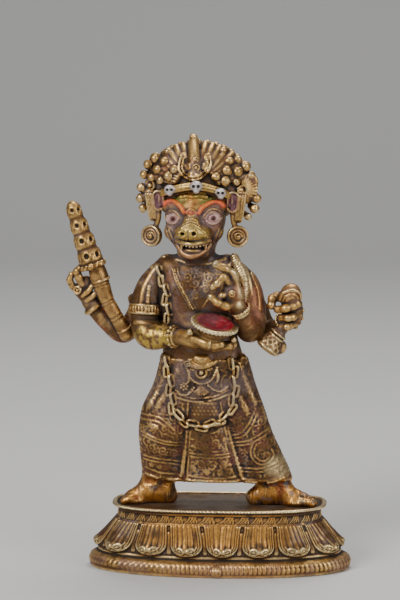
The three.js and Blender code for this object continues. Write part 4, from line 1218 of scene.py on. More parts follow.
def club_arm(material):
    """The right arm behind, its hand, and the club that stands on its elbow."""
    clay = Clay((-77, -13, 103), (-14, 14, 178), HEAD_STEP)
    tube(clay, CLUB_ARM, 1.2)
    clay.add(ball((-46, 4, 113.4), (6.4, 4.6, 5)), 2)
    axis = unit(CONE_TIP - CONE_BASE)
    tube(clay, SHAFT, 0.8)
    skull_cone(clay)
    guard = CONE_BASE - axis * 0.9
    clay.add(ring(guard, axis, 4.9, 1.5), 0.3)
    frame = frame_of(axis)
    for i in range(13):
        angle = 2 * math.pi * i / 13
        out = frame[:, 0] * math.cos(angle) + frame[:, 1] * math.sin(angle)
        lean = frame[:, 1] * math.cos(angle) - frame[:, 0] * math.sin(angle)
        spot = guard + out * 6.1
        clay.add(rod(spot - axis * 0.8 - lean * 0.7, spot + axis * 0.8 + lean * 0.7, 0.5, 0.5), 0.2)
    for side in (-1, 1):
        clay.add(ball(guard + frame[:, 0] * side * 7.2, 1.7), 0.5)
    path = smooth_path(SHAFT, 12)
    for level in (137.4, 136, 128.4, 127, 121.4, 120):
        row = int(np.abs(path[:, 2] - level).argmin())
        clay.cut(ring(path[row, :3], path[row + 1, :3] - path[row - 1, :3], path[row, 3] + 0.1, 0.42), 0.2)
    clay.add(ring((-56, -4, 138.4), (1.6, 0.2, -5), 4.2, 0.5), 0.3)
    clay.add(ring((-45.2, -1.7, 115.2), (1.8, 1, -3.6), 3.8, 0.5))
    hand_on_club(clay)
    put_clay("club_arm", clay, paint_club, material)


def hand_on_club(clay):
    """The hand beside the club: its palm, three bent fingers, and the thumb that hooks over the guard."""
    wrist = unit((-3.4, -0.7, 4.4))
    clay.add(ring((-60.2, 1.5, 124.6), wrist, 4, 1.2), 0.3)
    clay.add(ring((-60.2, 1.5, 124.6), wrist, 4.9, 0.5))
    clay.add(rod((-60.4, 0.4, 127), (-66, -1, 133.4), 3.9, 3.6), 1.4)
    clay.add(ball((-63.4, -1, 136.4), (3.4, 3, 3.6)), 1.4)
    clay.add(rod((-64.8, -1.4, 137), (-61.4, -1.6, 134.6), 1.6, 2), 1)
    finger(clay, [(-66.6, -2, 133.4), (-69.6, -2.4, 135.2), (-71, -2.6, 138), (-70, -2.8, 140.8)], 1.75)
    finger(clay, [(-65.4, -3, 136.4), (-66.6, -4, 140), (-67.3, -4.4, 142.4), (-65.8, -4.8, 144)], 2.0)
    clay.add(ring((-67.2, -4.6, 133.6), (-0.3, -1, 0.1), 1.6, 0.62), 0.3)
    clay.add(ball((-67.2, -4.6, 133.6), 0.8))
    tube(clay, [(-64.6, -4, 131, 1.1), (-62, -4.6, 133, 1.3), (-60.4, -4.4, 135.4, 1.2)], 0.8)
    tube(clay, [(-62.6, -3.6, 128.8, 1.1), (-60, -4.4, 130.6, 1.3), (-58.4, -4.4, 132.6, 1.1)], 0.8)


def paint_club(finish):
    """A gilt club, a coppery forearm and a brown hand."""
    finish.cast(film=0.45, gold=1.0, warm=0.35, seed=51)
    cone = smoothstep(144, 147, finish.z)
    finish.lay(cone * smoothstep(-0.1, 0.35, finish.relief) * 0.6, GOLD, 0.33, 1)
    finish.lay(finish.along([(x, z) for x, _, z, _ in SHAFT], 3.2, front=0) * 0.4, (190, 146, 86), 0.34, 1)
    arm = finish.along([(-59, 123), (-54, 117.6), (-47, 112.4)], 5) * smoothstep(-1.5, 0.5, finish.y)
    finish.lay(arm * smoothstep(0.4, 0.65, noise(finish.points, 3, 55)) * 0.75, (150, 74, 48), 0.42, 0.9)


def mace_arm(material):
    """The left arm behind, its closed fist, and the mace's bud and ribbed bell."""
    clay = Clay((-3, -17, 101), (43, 16, 148), HEAD_STEP)
    tube(clay, MACE_ARM, 1.2)
    clay.add(ball((34.6, -5.4, 123.6), (5, 5, 7.6), (0, 8, 0)), 1.2)
    for i, (start, end, size) in enumerate([((37.2, 128.4), (27.6, 126), 2.1), ((37, 123.2), (29.4, 122), 1.9), ((35.6, 119), (29.6, 117.8), 1.7)]):
        middle = ((start[0] * 0.4 + end[0] * 0.6), start[1] * 0.45 + end[1] * 0.55)
        finger(clay, [(start[0], -7.6, start[1]), (start[0] - 2.4, -10.6, start[1] - 0.6), (middle[0], -12, middle[1] - 0.2),
                      (end[0], -9.8, end[1])], size)
    clay.add(ball((36.4, -9.4, 128.8), 2.2), 0.5)
    finger(clay, [(30.6, -5.4, 130.4), (27.4, -7.4, 131.8), (25.2, -8, 130.8), (24.6, -8.8, 127.8)], 2.35)
    clay.add(rod((32.4, -7.6, 127), (33.2, -8, 131), 3.2, 4.4), 0.6)
    clay.add(ball((33.6, -7.6, 132.8), (5, 4.6, 5.4), (0, 24, 0)), 0.6)
    for size, rise in ((4.5, 1.2), (3.1, -0.6), (1.8, -2)):
        tube(clay, [(33.2 - size, -10.6, 130.4 + rise * 0.4, 0.8), (33.6 - size * 0.7, -12, 133 + rise, 0.9), (34 + size * 0.2, -12.2, 134.2 + rise, 0.9),
                    (33.8 + size * 0.9, -11, 133 + rise * 0.8, 0.8), (34 + size, -9.6, 130.6 + rise * 0.5, 0.7)], 0.2)
    Relief(clay).beads([(39.4, 126.4), (39.8, 123), (38.4, 119.4), (35.8, 116.2), (33.2, 114.4)], 0.78, 1.35, 0.1)
    wrist = unit((2.2, -3, 3.2))
    bead_ring(clay, (30.6, -3.6, 119.1), wrist, 4.5, 0.7, 1.4)
    bell(clay)
    put_clay("mace_arm", clay, paint_mace, material)


def bell(clay):
    """The mace's ribbed bell below the fist."""
    top, mouth = np.array((32.4, -9.0, 120.0)), np.array((22.0, -10.3, 106.6))
    axis = mouth - top
    length = np.linalg.norm(axis)
    frame = frame_of(axis)
    profile = [(0, 2.4), (length * 0.3, 2.5), (length * 0.42, 3.8), (length * 0.5, 3.4), (length * 0.62, 4.4),
               (length * 0.74, 5.4), (length * 0.88, 6), (length * 0.97, 5.4), (length, 4)]
    clay.add(turning(top, axis, profile), 0.5)
    for i in range(22):
        turn = 1 if i % 2 else -1
        line = []
        for share, r in ((0.54, 3.5), (0.66, 4.5), (0.8, 5.5), (0.92, 5.7)):
            angle = 2 * math.pi * (i // 2 / 11 + turn * (share - 0.54) * 0.5)
            out = frame[:, 0] * math.cos(angle) + frame[:, 1] * math.sin(angle)
            line.append((*(top + axis * share + out * r), 0.4))
        tube(clay, line)
    for share, r in ((0.42, 3.9), (0.52, 3.7), (0.9, 5.9)):
        clay.add(ring(top + axis * share, axis, r, 0.5))
    clay.add(ball((28.6, -8.4, 108), (3.4, 3, 3.4)), 1.0)


def paint_mace(finish):
    """A brown fist, gilt finger ridges, and a gilt bell with a painted highlight on its raised ribs."""
    finish.cast(film=0.55, gold=1.0, warm=0.3, seed=71)
    # painted highlight: pale gold on the bell's raised ribs
    finish.lay(finish.blob(24.4, 109, 7, 6) * smoothstep(0.0, 0.35, finish.relief) * 0.8, HIGHLIGHT_GOLD, 0.3, 1)
    finish.lay(finish.blob(34.6, 134.4, 6, 5) * 0.25, (190, 140, 104), 0.42, 0.9)


# Head

EYES = [(-21.6, 168.8, 3.1), (-2.5, 169.2, 3.7)]
BROWS = [[(-25.4, 175.4), (-24.3, 176.3), (-21.2, 176.8), (-17.8, 175.1), (-15.9, 172.2)],
         [(2, 174.8), (0.8, 176), (-3, 176.6), (-7.2, 174.6), (-9, 171.9)]]
EARS = [(-28.4, 176.8, 2.5, 4.4), (6.4, 176.2, 2.7, 4.6)]
EARRINGS = [((-31.6, -5.8, 160.0), (-0.5, -1, 0.04)), ((8.7, -5.8, 159.8), (0.12, -1, 0.04))]
LOWER_LIP = [(-20, -12.2, 158.2, 0.9), (-18.2, -14.8, 155.4, 1.1), (-16, -16.8, 152.9, 1.2), (-12.4, -18, 151.8, 1.3),
             (-8.2, -17, 153, 1.2), (-5.1, -14.8, 155.3, 1.1), (-3.2, -12.2, 158.2, 0.9)]


def head(material):
    """The face with its snout, the ears, the disc earrings and the ribbons beside them."""
    clay = Clay((-39, -27, 146.5), (17, 8, 185.5), HEAD_STEP)
    clay.add(ball((HEAD_X, -3, 169), (14.3, 13.4, 15.6)))
    clay.add(ball((HEAD_X - 0.3, -6.4, 159.4), (10.8, 10.8, 8.4)), 3)
    clay.add(rod((-10.8, -3, 160), (-10.6, -3, 147), 8.2, 8.8), 3)
    for x in (-20.6, -2.8):
        clay.add(ball((x, -9.4, 162.6), (5, 4.6, 4.6)), 2.5)
    clay.add(rod((-24, -8.8, 174.4), (-16, -13.6, 173.8), 2.4, 2.2), 2)
    clay.add(rod((1, -8.8, 174.4), (-7.4, -13.6, 173.8), 2.4, 2.2), 2)
    tube(clay, [(-12, -12.6, 176, 3), (-12.1, -15, 171.4, 3.2), (-12.4, -18, 166.6, 4)], 2)
    clay.add(ball((-11.8, -15.6, 162.6), (8.2, 7.4, 4.8)), 2)
    clay.add(ball((-13.2, -20, 163.6), (5.4, 3.6, 3.2)), 1.6)
    clay.add(ball((HEAD_X - 0.5, -11, 152.8), (7.6, 6.4, 3.8)), 2)
    clay.cut(ball((HEAD_X - 0.2, -20.4, 155.6), (7.2, 7, 2.9)), 0.6)
    clay.add(ball((HEAD_X - 0.4, -14.6, 154.4), (5, 4.2, 1.6)), 0.8)
    tube(clay, LOWER_LIP, 0.6)
    tube(clay, [(-19.8, -14, 158.8, 0.8), (-16.6, -19.6, 158.4, 0.9), (-12.2, -21.8, 158.1, 0.9), (-7.4, -19.8, 158.5, 0.9), (-3.8, -14.4, 158.9, 0.8)], 0.6)
    for i in range(9):
        across = (i - 4) / 4
        clay.add(ball((HEAD_X - 0.1 + across * 6.3, -20 + across * across * 4.4, 156.9 + across * across * 0.9), (0.68, 0.6, 1.0)))
    for i in range(7):
        across = (i - 3) / 3
        clay.add(ball((HEAD_X - 0.1 + across * 5, -16.4 + across * across * 3, 153.8 + across * across * 1.4), (0.62, 0.6, 0.8)))
    for side in (-1, 1):
        clay.add(ball((HEAD_X - 0.1 + side * 5.6, -16.4, 156), (0.7, 0.7, 1.9)), 0.2)
    for x, z, half in EYES:
        clay.cut(ball((x, -15.4, z), (half * 1.08, 2.6, half * 0.76)), 0.8)
        clay.add(ball((x, -11.6, z), (half * 0.94, 3.1, half * 0.72)), 0.2)
    face(clay)
    for (x, z, half_width, half_height), side in zip(EARS, (-1, 1)):
        ear(clay, x, z, half_width, half_height, side)
    for centre, facing in EARRINGS:
        earring(clay, np.array(centre), unit(facing))
    put_clay("head", clay, paint_head, material)


def face(clay):
    """Lids, pupils, brows, wrinkles, nostrils and the curls beside the snout."""
    for x, z, half in EYES:
        relief = Relief(clay)
        relief.line([(x - half - 0.2, z + 0.1), (x - half * 0.6, z + half * 0.58), (x, z + half * 0.8),
                     (x + half * 0.6, z + half * 0.6), (x + half + 0.2, z + 0.1)], 0.55, 0.3, rows=6)
        relief.line([(x - half - 0.2, z + 0.1), (x - half * 0.55, z - half * 0.56), (x, z - half * 0.74),
                     (x + half * 0.55, z - half * 0.56), (x + half + 0.2, z + 0.1)], 0.5, 0.25, rows=6)
        relief.line([(x - half - 0.9, z + 0.6), (x - half * 0.6, z + half * 0.98), (x, z + half * 1.2),
                     (x + half * 0.7, z + half * 0.94), (x + half + 1.1, z + 0.4)], 0.42, 0.1, rows=6)
        relief.bump(x + 0.1, z + 0.1, 1.05, -0.35)
    relief = Relief(clay)
    for brow in BROWS:
        relief.line([(x, z, 0.95) for x, z in brow], lift=0.1, rows=6, blend=0.3)
        relief.line([(x, z + 1.7, 0.42) for x, z in brow[:-1]], lift=0.05, rows=6)
    for z, half in ((178.2, 6), (179.7, 6.8), (181.1, 6)):
        relief.line([(-12 - half, z - 0.7), (-14.6, z), (-12, z - 0.4), (-9.2, z), (-12 + half, z - 0.7)], 0.42, rows=5)
    relief.line([(-15.2, 172.2), (-12.6, 174), (-10, 172.2), (-12.6, 170.8), (-15.2, 172.2)], 0.4, 0.1, rows=5)
    relief.bump(-12.6, 172.3, 0.9, -0.2)
    for z, half in ((169.4, 3.4), (168.2, 3.9), (167, 4.4)):
        relief.line([(-12.4 - half, z - 1.6), (-14.6, z - 0.2), (-12.4, z + 0.3), (-10.2, z - 0.2), (-12.4 + half, z - 1.6)], 0.4, rows=5)
    for x, z, hand in ((-18.6, 163.1, 1), (-6.6, 162.4, -1)):
        relief.spiral(x, z, 1.5, turns=1.2, start=90, hand=hand, width=0.42)
    relief.spiral(-4.6, 160.4, 1.2, turns=1.1, start=200, hand=1, width=0.4)
    relief.spiral(-19.6, 160.4, 1.1, turns=1.1, start=-20, hand=-1, width=0.4)
    for line in ([(-22.6, 163.6), (-20.8, 160), (-20.4, 157)], [(-0.4, 163.6), (-2.4, 160), (-2.8, 157)],
                 [(-24.4, 164.6), (-23, 160.6), (-21.6, 157.4)], [(1.6, 164.6), (0, 160.6), (-1.4, 157.4)]):
        relief.line(line, 0.36, 0.0, rows=5, sunk=True, blend=0.3)
    for x, z in ((-16.2, 162.8), (-10.9, 163.1)):
        depth = clay.depth_at(relief.skin, x, z)
        clay.add(ring((x, depth - 0.1, z), (0, -1, 0), 1.45, 0.5), 0.2)
        clay.cut(ball((x, depth - 0.2, z), (1.05, 2.2, 0.85)), 0.2)
    relief.line([(-13.5, 164.6), (-13.6, 161), (-13.4, 159)], 0.34, 0, rows=4, sunk=True)


def ear(clay, x, z, half_width, half_height, side):
    """An ear: a raised rim round a hollow, its long lobe, and the ribbed ribbon beside it."""
    clay.add(ball((x, -5.6, z), (half_width + 0.4, 2.6, half_height + 0.4)), 1)
    clay.cut(ball((x, -9.3, z + 0.2), (half_width * 0.78, 2.2, half_height * 0.8)), 0.3)
    clay.add(link((x, -7.9, z), (side * 0.1, 0, 1), (0, -1, 0), half_height, half_width - 0.2, 0.6), 0.2)
    clay.add(ball((x - side * 0.4, -7.4, z + 0.4), (half_width * 0.34, 1, half_height * 0.44)), 0.3)
    tube(clay, [(x, -6.4, z - half_height, 1.5), (x + side * 0.4, -6.2, z - half_height - 5, 1.35),
                (x + side * 2, -5.6, z - half_height - 9.4, 1.3)], 0.8)
    top, foot_at = (x + side * 4.2, -6, z + 3), (x + side * 2.8, -6, z - 8.4)
    clay.add(rod(top, foot_at, 2.3, 1.7, ((0, 1, 0), 0.55)), 0.6)
    for i in range(4):
        shift = (i - 1.5) * 1.12
        tube(clay, [(top[0] + shift, -7.5, top[2], 0.55), ((top[0] + foot_at[0]) / 2 + shift, -7.7, (top[2] + foot_at[2]) / 2, 0.55),
                    (foot_at[0] + shift * 0.8, -7.3, foot_at[2], 0.5)])


def earring(clay, centre, facing):
    """A thick round disc with a raised rim, an inner ring and a coiled boss."""
    clay.add(turning(centre - facing * 1.6, facing, [(0, 4.4), (0.6, 5.1), (2.2, 5.2), (2.9, 4.8), (3.1, 3.6)]), 0.3)
    front = centre + facing * 1.4
    clay.add(ring(front, facing, 4.5, 0.62))
    clay.add(ring(front, facing, 2.9, 0.5))
    frame = frame_of(facing)
    angles = np.linspace(0, 2.4 * math.pi, 18)
    tube(clay, [(*(front + facing * (0.2 + 0.3 * a / angles[-1]) + frame[:, 0] * r * math.cos(a) + frame[:, 1] * r * math.sin(a)), 0.42)
                for a, r in zip(angles, 1.9 * (1 - 0.7 * angles / angles[-1]))], rows=1)
    clay.add(ball(front + facing * 0.5, 0.7))


def paint_head(finish):
    """The face's cool film, gilt snout, painted brows and eyes, purplish ears, and painted shade inside the open mouth.
    """
    finish.cast(film=0.8, gold=0.75, warm=0.2, seed=91)
    cloud = noise(finish.points, 3.4, 95)
    mask = finish.blob(HEAD_X, 166, 14, 17, front=-4)
    finish.lay(mask * smoothstep(0.3, 0.6, cloud) * 0.4 * smoothstep(0.3, 0, finish.relief), COOL_FILM, 0.55, 0.5)
    brow = finish.blob(-12, 177.6, 8.4, 4, front=-6)
    finish.lay(brow * smoothstep(0.3, 0.6, cloud) * 0.75, (196, 166, 74), 0.42, 0.8)
    finish.lay(brow * smoothstep(0.55, 0.7, noise(finish.points, 2.8, 96)) * 0.5, (190, 110, 52), 0.5, 0.4)
    finish.lay(finish.blob(-11.8, 162.6, 8.4, 4.2, front=-15.5) * smoothstep(-0.35, 0.2, finish.relief) * 0.85, (218, 186, 100), 0.34, 1)
    finish.lay(finish.blob(-12.4, 168.4, 4.6, 2.6, front=-14) * smoothstep(-0.2, 0.2, finish.relief) * 0.7, (206, 170, 84), 0.36, 1)
    for line in BROWS:
        green = [(x, z + 1.7) for x, z in line[:-1]]
        finish.lay(finish.along(green, 0.75, front=-5) * 0.8, (104, 132, 56), 0.55, 0.1)
        finish.lay(finish.along(line, 1.25, front=-5) * smoothstep(-0.3, 0.15, finish.relief) * 0.92, (226, 92, 48), 0.5, 0)
        finish.lay(finish.along(line[2:], 1.1, front=-5) * smoothstep(0.2, 0.5, finish.relief) * 0.6, (240, 150, 60), 0.45, 0.2)
    for x in (-24, 0.8):
        finish.lay(finish.blob(x, 178.4, 2.2, 1.1, front=-6) * 0.8, (172, 48, 62), 0.5, 0)
    finish.lay(finish.blob(-12.6, 172.3, 2, 1.2, front=-12) * 0.75, (196, 96, 60), 0.5, 0.1)
    for x, z, half in EYES:
        finish.lay(finish.blob(x, z, half * 1.5, half * 1.15, front=-9) * 0.35, (170, 130, 132), 0.5, 0.3)
        finish.lay(finish.blob(x, z, half * 0.96, half * 0.72, 0.12, front=-11) * 0.9, (206, 168, 160), 0.4, 0)
        finish.lay(finish.blob(x + 0.3, z + 0.2, 1.3, 1.2, 0.2, front=-11) * 0.9, (120, 52, 52), 0.35, 0)
        finish.lay(finish.blob(x + 0.3, z + 0.2, 0.7, 0.7, 0.25, front=-11), (30, 20, 20), 0.3, 0)
    for x, z, half_width, half_height in EARS:
        finish.lay(finish.blob(x, z, half_width, half_height, front=-5) * 0.6, (142, 96, 112), 0.5, 0.3)
    # painted shade: dark brown in the hollow of the open mouth
    inside = finish.blob(HEAD_X - 0.2, 155.6, 7, 2.6, front=-9) * smoothstep(0.15, -0.1, finish.relief)
    finish.lay(inside * 0.7, (50, 30, 28), 0.6, 0.1)
    finish.lay(finish.along([(x, z) for x, _, z, _ in LOWER_LIP], 1.3, front=-10) * smoothstep(0, 0.3, finish.relief) * 0.35, (190, 120, 106), 0.4, 0.6)
    teeth = finish.blob(HEAD_X - 0.1, 156.8, 7, 1.5, front=-14) * smoothstep(0.35, 0.7, finish.relief)
    finish.lay(teeth * 0.7, (226, 206, 180), 0.4, 0.2)


# Hair and diadem

HAIR_MIDDLE = np.array((-10.3, 1.0, 184.0))
HAIR_RADII = np.array((24.4, 12.4, 19.6))
DIADEM = [(-27, -7.6, 180.2), (-19.4, -13.6, 183), (-10.5, -15.6, 184.4), (-2.4, -13.6, 182.8), (4.6, -7.6, 179.4)]
DIADEM_SKULLS = [(-22.8, -12.8, 182.4, 2.5), (-10.2, -16.6, 184.4, 2.8), (1.0, -12.8, 181, 2.5)]
CURLS = [(-33.6, 193.2, 2.5), (-30.2, 196, 2.9), (-28.8, 191.2, 2.4), (-25.6, 195, 2.5), (-23.8, 188.4, 2.5), (-20.8, 191.4, 2.4),
         (-35.4, 188.4, 2.2), (-31.6, 187.4, 2.1), (-27.4, 186.4, 1.9), (4.8, 195.2, 2.3), (3.6, 191.2, 2.6), (8.4, 190.4, 2.7),
         (12.2, 192.4, 2.8), (-1.2, 188.2, 2.2), (3.2, 186.4, 2.6), (8.6, 195.8, 2.2), (8, 185.8, 1.9), (14.8, 188.2, 2.1),
         (-37.2, 177.4, 2.4), (-36.2, 172.6, 2.2), (-37, 182.4, 2.3), (17.4, 177.6, 2.4), (16.6, 172.6, 2.3), (13.4, 168.8, 1.9),
         (-24.2, 199.4, 2), (1.8, 200, 2)]
FRAME_LINE = [(-17.8, 197.4), (-18.6, 193.3), (-17.6, 189.7), (-14.6, 187.5), (-12, 187.1), (-8.2, 188), (-5.1, 190.7), (-3.6, 194.3), (-4, 197)]


def hair_depth(x, z):
    """The depth of the hair's front, kept from running away at its edge."""
    across, up = (x - HAIR_MIDDLE[0]) / HAIR_RADII[0], (z - HAIR_MIDDLE[2]) / HAIR_RADII[2]
    return HAIR_MIDDLE[1] - HAIR_RADII[1] * math.sqrt(max(0.1, 1 - across * across - up * up))


def hair_facing(x, z):
    """The direction that the hair's front faces at a place, turned a good deal to the front."""
    across, up = (x - HAIR_MIDDLE[0]) / HAIR_RADII[0], (z - HAIR_MIDDLE[2]) / HAIR_RADII[2]
    return unit((across * 0.6, -1, up * 0.55))


def locks(clay, back=False):
    """Locks of hair swept up and outward, each with its strands."""
    out = -1 if back else 1
    step = 10 if back else 8.5
    for i in range(-9, 10):
        angle = math.radians(90 + i * step)
        if not back and abs(i) < 1:
            continue
        for shift, wire, lift in ((0, 1.75, -0.9), (-1.05, 0.5, 0.55), (0, 0.55, 0.85), (1.05, 0.5, 0.55)):
            line = []
            for share in (0.42, 0.6, 0.76, 0.88, 0.97):
                x = HAIR_MIDDLE[0] + HAIR_RADII[0] * share * math.cos(angle) - shift * math.sin(angle)
                z = HAIR_MIDDLE[2] + HAIR_RADII[2] * share * math.sin(angle) + shift * math.cos(angle)
                inner = min(share, 0.985)
                depth = HAIR_RADII[1] * math.sqrt(1 - inner * inner) + lift * math.sqrt(1 - inner * inner * 0.6)
                line.append((x, HAIR_MIDDLE[1] - out * depth, z, wire))
            if math.sin(angle) > -0.2:
                tube(clay, line, 0.4 if shift == 0 and lift < 0 else 0, rows=3)


def crest(clay):
    """The coiled crest in the middle and the double-lined frame that holds its ornaments."""
    tube(clay, [(-11, hair_depth(-11, 188) - 0.2, 189, 3.4), (-11.4, hair_depth(-11, 196) - 0.8, 196, 3),
                (-12, hair_depth(-12, 201) - 0.6, 201.4, 2.6), (-12.2, hair_depth(-12, 203) + 0.6, 205.2, 2)], 0.8)
    for i in range(6):
        z, half = 197.8 + i * 1.55, 2.9 - i * 0.2
        y = hair_depth(-12, min(z, 203)) - 2.7 + max(0, z - 201) * 0.42
        tube(clay, [(-11.8 - half, y + 1.6, z - 1.1, 0.5), (-11.8 - half * 0.5, y + 0.1, z + 0.1, 0.6), (-11.8, y - 0.3, z + 0.4, 0.65),
                    (-11.8 + half * 0.5, y + 0.1, z + 0.1, 0.6), (-11.8 + half, y + 1.6, z - 1.1, 0.5)], rows=3)
    clay.add(ball((-12.4, -2.4, 206.4), (1.9, 1.7, 1.3)), 0.4)
    relief = Relief(clay)
    relief.line([(x, z, 0.62) for x, z in FRAME_LINE], lift=0.5, rows=6)
    relief.line([(-11.1 + (x + 11.1) * 0.8, 193 + (z - 193) * 0.76, 0.45) for x, z in FRAME_LINE], lift=0.3, rows=6)
    relief.spiral(-16.6, 197.6, 1.6, start=180, hand=-1, width=0.5)
    relief.spiral(-5.4, 197.2, 1.6, start=0, hand=1, width=0.5)
    relief.rosette(-10.4, 192.8, 1.9)
    relief.rosette(-10, 189.4, 1.1)
    relief.rosette(-10.6, 196.4, 1.5)
    relief.spiral(-14.1, 193, 1.5, start=60, hand=1, width=0.42)
    relief.spiral(-6.9, 193, 1.4, start=120, hand=-1, width=0.42)
    relief.spiral(-13, 189.9, 1, start=180, hand=1, width=0.36)
    relief.spiral(-7.4, 190, 1, start=0, hand=-1, width=0.36)


def diadem(clay):
    """The ridged band over the forehead, its skulls, and the rosettes and fan at its ends."""
    for shift, wire, out in ((-1.25, 0.6, 0), (0, 0.75, 0.35), (1.25, 0.6, 0)):
        tube(clay, [(x, y - out, z + shift, wire) for x, y, z in DIADEM], rows=6)
    tube(clay, [(x, y + 1.2, z, 1.7) for x, y, z in DIADEM], rows=6)
    for x, y, z, r in DIADEM_SKULLS:
        clay.add(ball((x, y, z + 0.2), (r, r * 0.9, r * 0.86)), 0.1)
        clay.add(ball((x + 0.1, y - 0.2, z - r * 0.72), (r * 0.55, r * 0.7, r * 0.5)), 0.5)
        for side in (-1, 1):
            clay.cut(ball((x + side * r * 0.42, y - r * 0.95, z + 0.1), (r * 0.3, r * 0.55, r * 0.3)), 0.1)
        clay.cut(ball((x, y - r * 0.95, z - r * 0.5), (r * 0.13, r * 0.35, r * 0.2)))
    for x, z, size in ((-32.6, 183.6, 2.7), (10.4, 181.8, 2.2)):
        y = hair_depth(x, z) - 0.6
        clay.add(ring((x, y, z), hair_facing(x, z), size * 0.85, 0.6))
        clay.add(ball((x, y - 0.4, z), size * 0.48))
        clay.add(ball((x, y + 1, z), (size, 1.4, size)))
    clay.add(ball((13.8, -3.8, 184), (4, 1.7, 5.4), (0, 30, 0)), 0.5)
    for i in range(10):
        angle = math.radians(-32 + i * 13)
        start, end = (10.4 + 2.4 * math.cos(angle), 181.8 + 2.4 * math.sin(angle)), (10.4 + 7 * math.cos(angle), 181.8 + 7 * math.sin(angle))
        clay.add(rod((start[0], -6.4, start[1]), (end[0], -4.4, end[1]), 0.45, 0.8))


def hair(material):
    """The tall hair with its locks, curls and crest, and the diadem in front of it."""
    clay = Clay((-42, -22, 162), (22, 16.5, 209.5), HEAD_STEP * 1.1)
    clay.add(ball(HAIR_MIDDLE, HAIR_RADII - 0.8))
    clay.cut(ball((HEAD_X, -14, 164), (15, 14, 14.4)), 0.5)
    locks(clay)
    locks(clay, back=True)
    tube(clay, [(x, HAIR_MIDDLE[1] + y, 181.6, 1.3) for x, y in ((-33, 4), (-26, 9.6), (-10.3, 12.8), (5.4, 9.6), (12.4, 4))], 0.3, rows=5)
    for i, (x, z, size) in enumerate(CURLS):
        facing = hair_facing(x, z)
        centre = np.array((x, hair_depth(x, z) - 0.9, z))
        snail(clay, centre, facing, size, start=i * 70, hand=1 if x < HEAD_X else -1)
        clay.add(rod(centre, centre - facing * 4, size * 0.8, size * 0.7), 0.5)
    crest(clay)
    diadem(clay)
    for x, z in ((-33.4, 179), (13, 179.4)):
        clay.add(ball((x, -2.4, z), (3, 3.4, 4.6)), 1)
    put_clay("hair_and_diadem", clay, paint_hair, material)


def paint_hair(finish):
    """Gilt curls and crest, brown locks under a purplish film, and silvery skulls with painted shade in their eye
    sockets.
    """
    finish.cast(film=0.6, gold=0.95, warm=0.15, seed=111)
    behind = smoothstep(-2, 6, finish.y)
    finish.lay(behind * 0.3, (84, 66, 56), 0.6, 0.6)
    finish.lay(finish.blob(-11, 193, 8, 8) * smoothstep(0.1, 0.5, finish.relief) * 0.6, GOLD, 0.32, 1)
    finish.lay(finish.along([(x, z) for x, _, z in DIADEM], 2.4, front=-5) * smoothstep(-0.1, 0.3, finish.relief) * 0.6, (210, 176, 98), 0.36, 1)
    for x, _, z, r in DIADEM_SKULLS:
        skull = finish.blob(x, z - 0.3, r * 1.08, r * 1.1, 0.12, front=-10)
        finish.lay(skull * smoothstep(-0.3, 0.1, finish.relief) * 0.95, (214, 206, 204), 0.4, 0.5)
        # painted shade: near-black in the skulls' eye sockets
        for side in (-1, 1):
            finish.lay(finish.blob(x + side * r * 0.42, z + 0.1, r * 0.3, r * 0.3, 0.2, front=-10), (26, 20, 18), 0.6, 0.1)


# Lotus plinth

PLINTH_PROFILE = [(0.0, 61.4, 24.9, 2.2, 0), (0.5, 62.2, 25.7, 2.2, 0), (3.6, 63, 26.5, 2.2, 0), (6.2, 62, 25.6, 2.2, 0), (7.2, 60.4, 24.1, 2.25, 0),
                  (7.7, 58.9, 23, 2.3, 0), (8.4, 58.3, 22.7, 2.3, 0), (9.3, 57.6, 22.2, 2.3, 0.6), (10.5, 57.2, 22, 2.3, 2.2), (13.5, 56.4, 21.8, 2.35, 2.6),
                  (18.5, 53, 21.7, 2.5, 1.2), (24.5, 48.8, 21.5, 2.8, 0), (29.2, 48, 21.5, 2.9, 0), (30.3, 49.4, 22.6, 2.95, 0),
                  (31, 50.6, 23.6, 3, 0), (31.8, 50.9, 23.9, 3, 0), (32.4, 50.3, 23.4, 3, 0), (32.3, 49.6, 22.8, 3, 0),
                  (31.4, 48.8, 22.1, 3, 0), (31, 47.6, 21.2, 3, 0)]
BACK_TO_FRONT = 0.72
PLINTH_COLUMNS = 1040
PETALS = 15
PETAL_SHIFT = 2.4
PETAL_TIP = 9.6
PETAL_TOP = 24.2
BAND_BOTTOM, BAND_TOP = 24.6, 29.4
BEAD_LEVEL = 31.2


def plinth_outline():
    """Angles of the plinth's columns, evenly spaced along its outline from the front, and its length."""
    angles = -math.pi / 2 + np.linspace(0, 2 * math.pi, 7201)
    x, y = plinth_point(angles, 55, 22, 2.4)
    run = np.concatenate([[0], np.cumsum(np.hypot(np.diff(x), np.diff(y)))])
    wanted = np.linspace(0, run[-1], PLINTH_COLUMNS, endpoint=False)
    return np.interp(wanted, run, angles), run[-1]


def plinth_point(angle, half_length, front, roundness):
    """A point on the plinth's side."""
    cos, sin = np.cos(angle), np.sin(angle)
    x = half_length * np.sign(cos) * np.abs(cos) ** (2 / roundness)
    y = np.where(sin > 0, front * BACK_TO_FRONT, front) * np.sign(sin) * np.abs(sin) ** (2 / roundness)
    return x, y


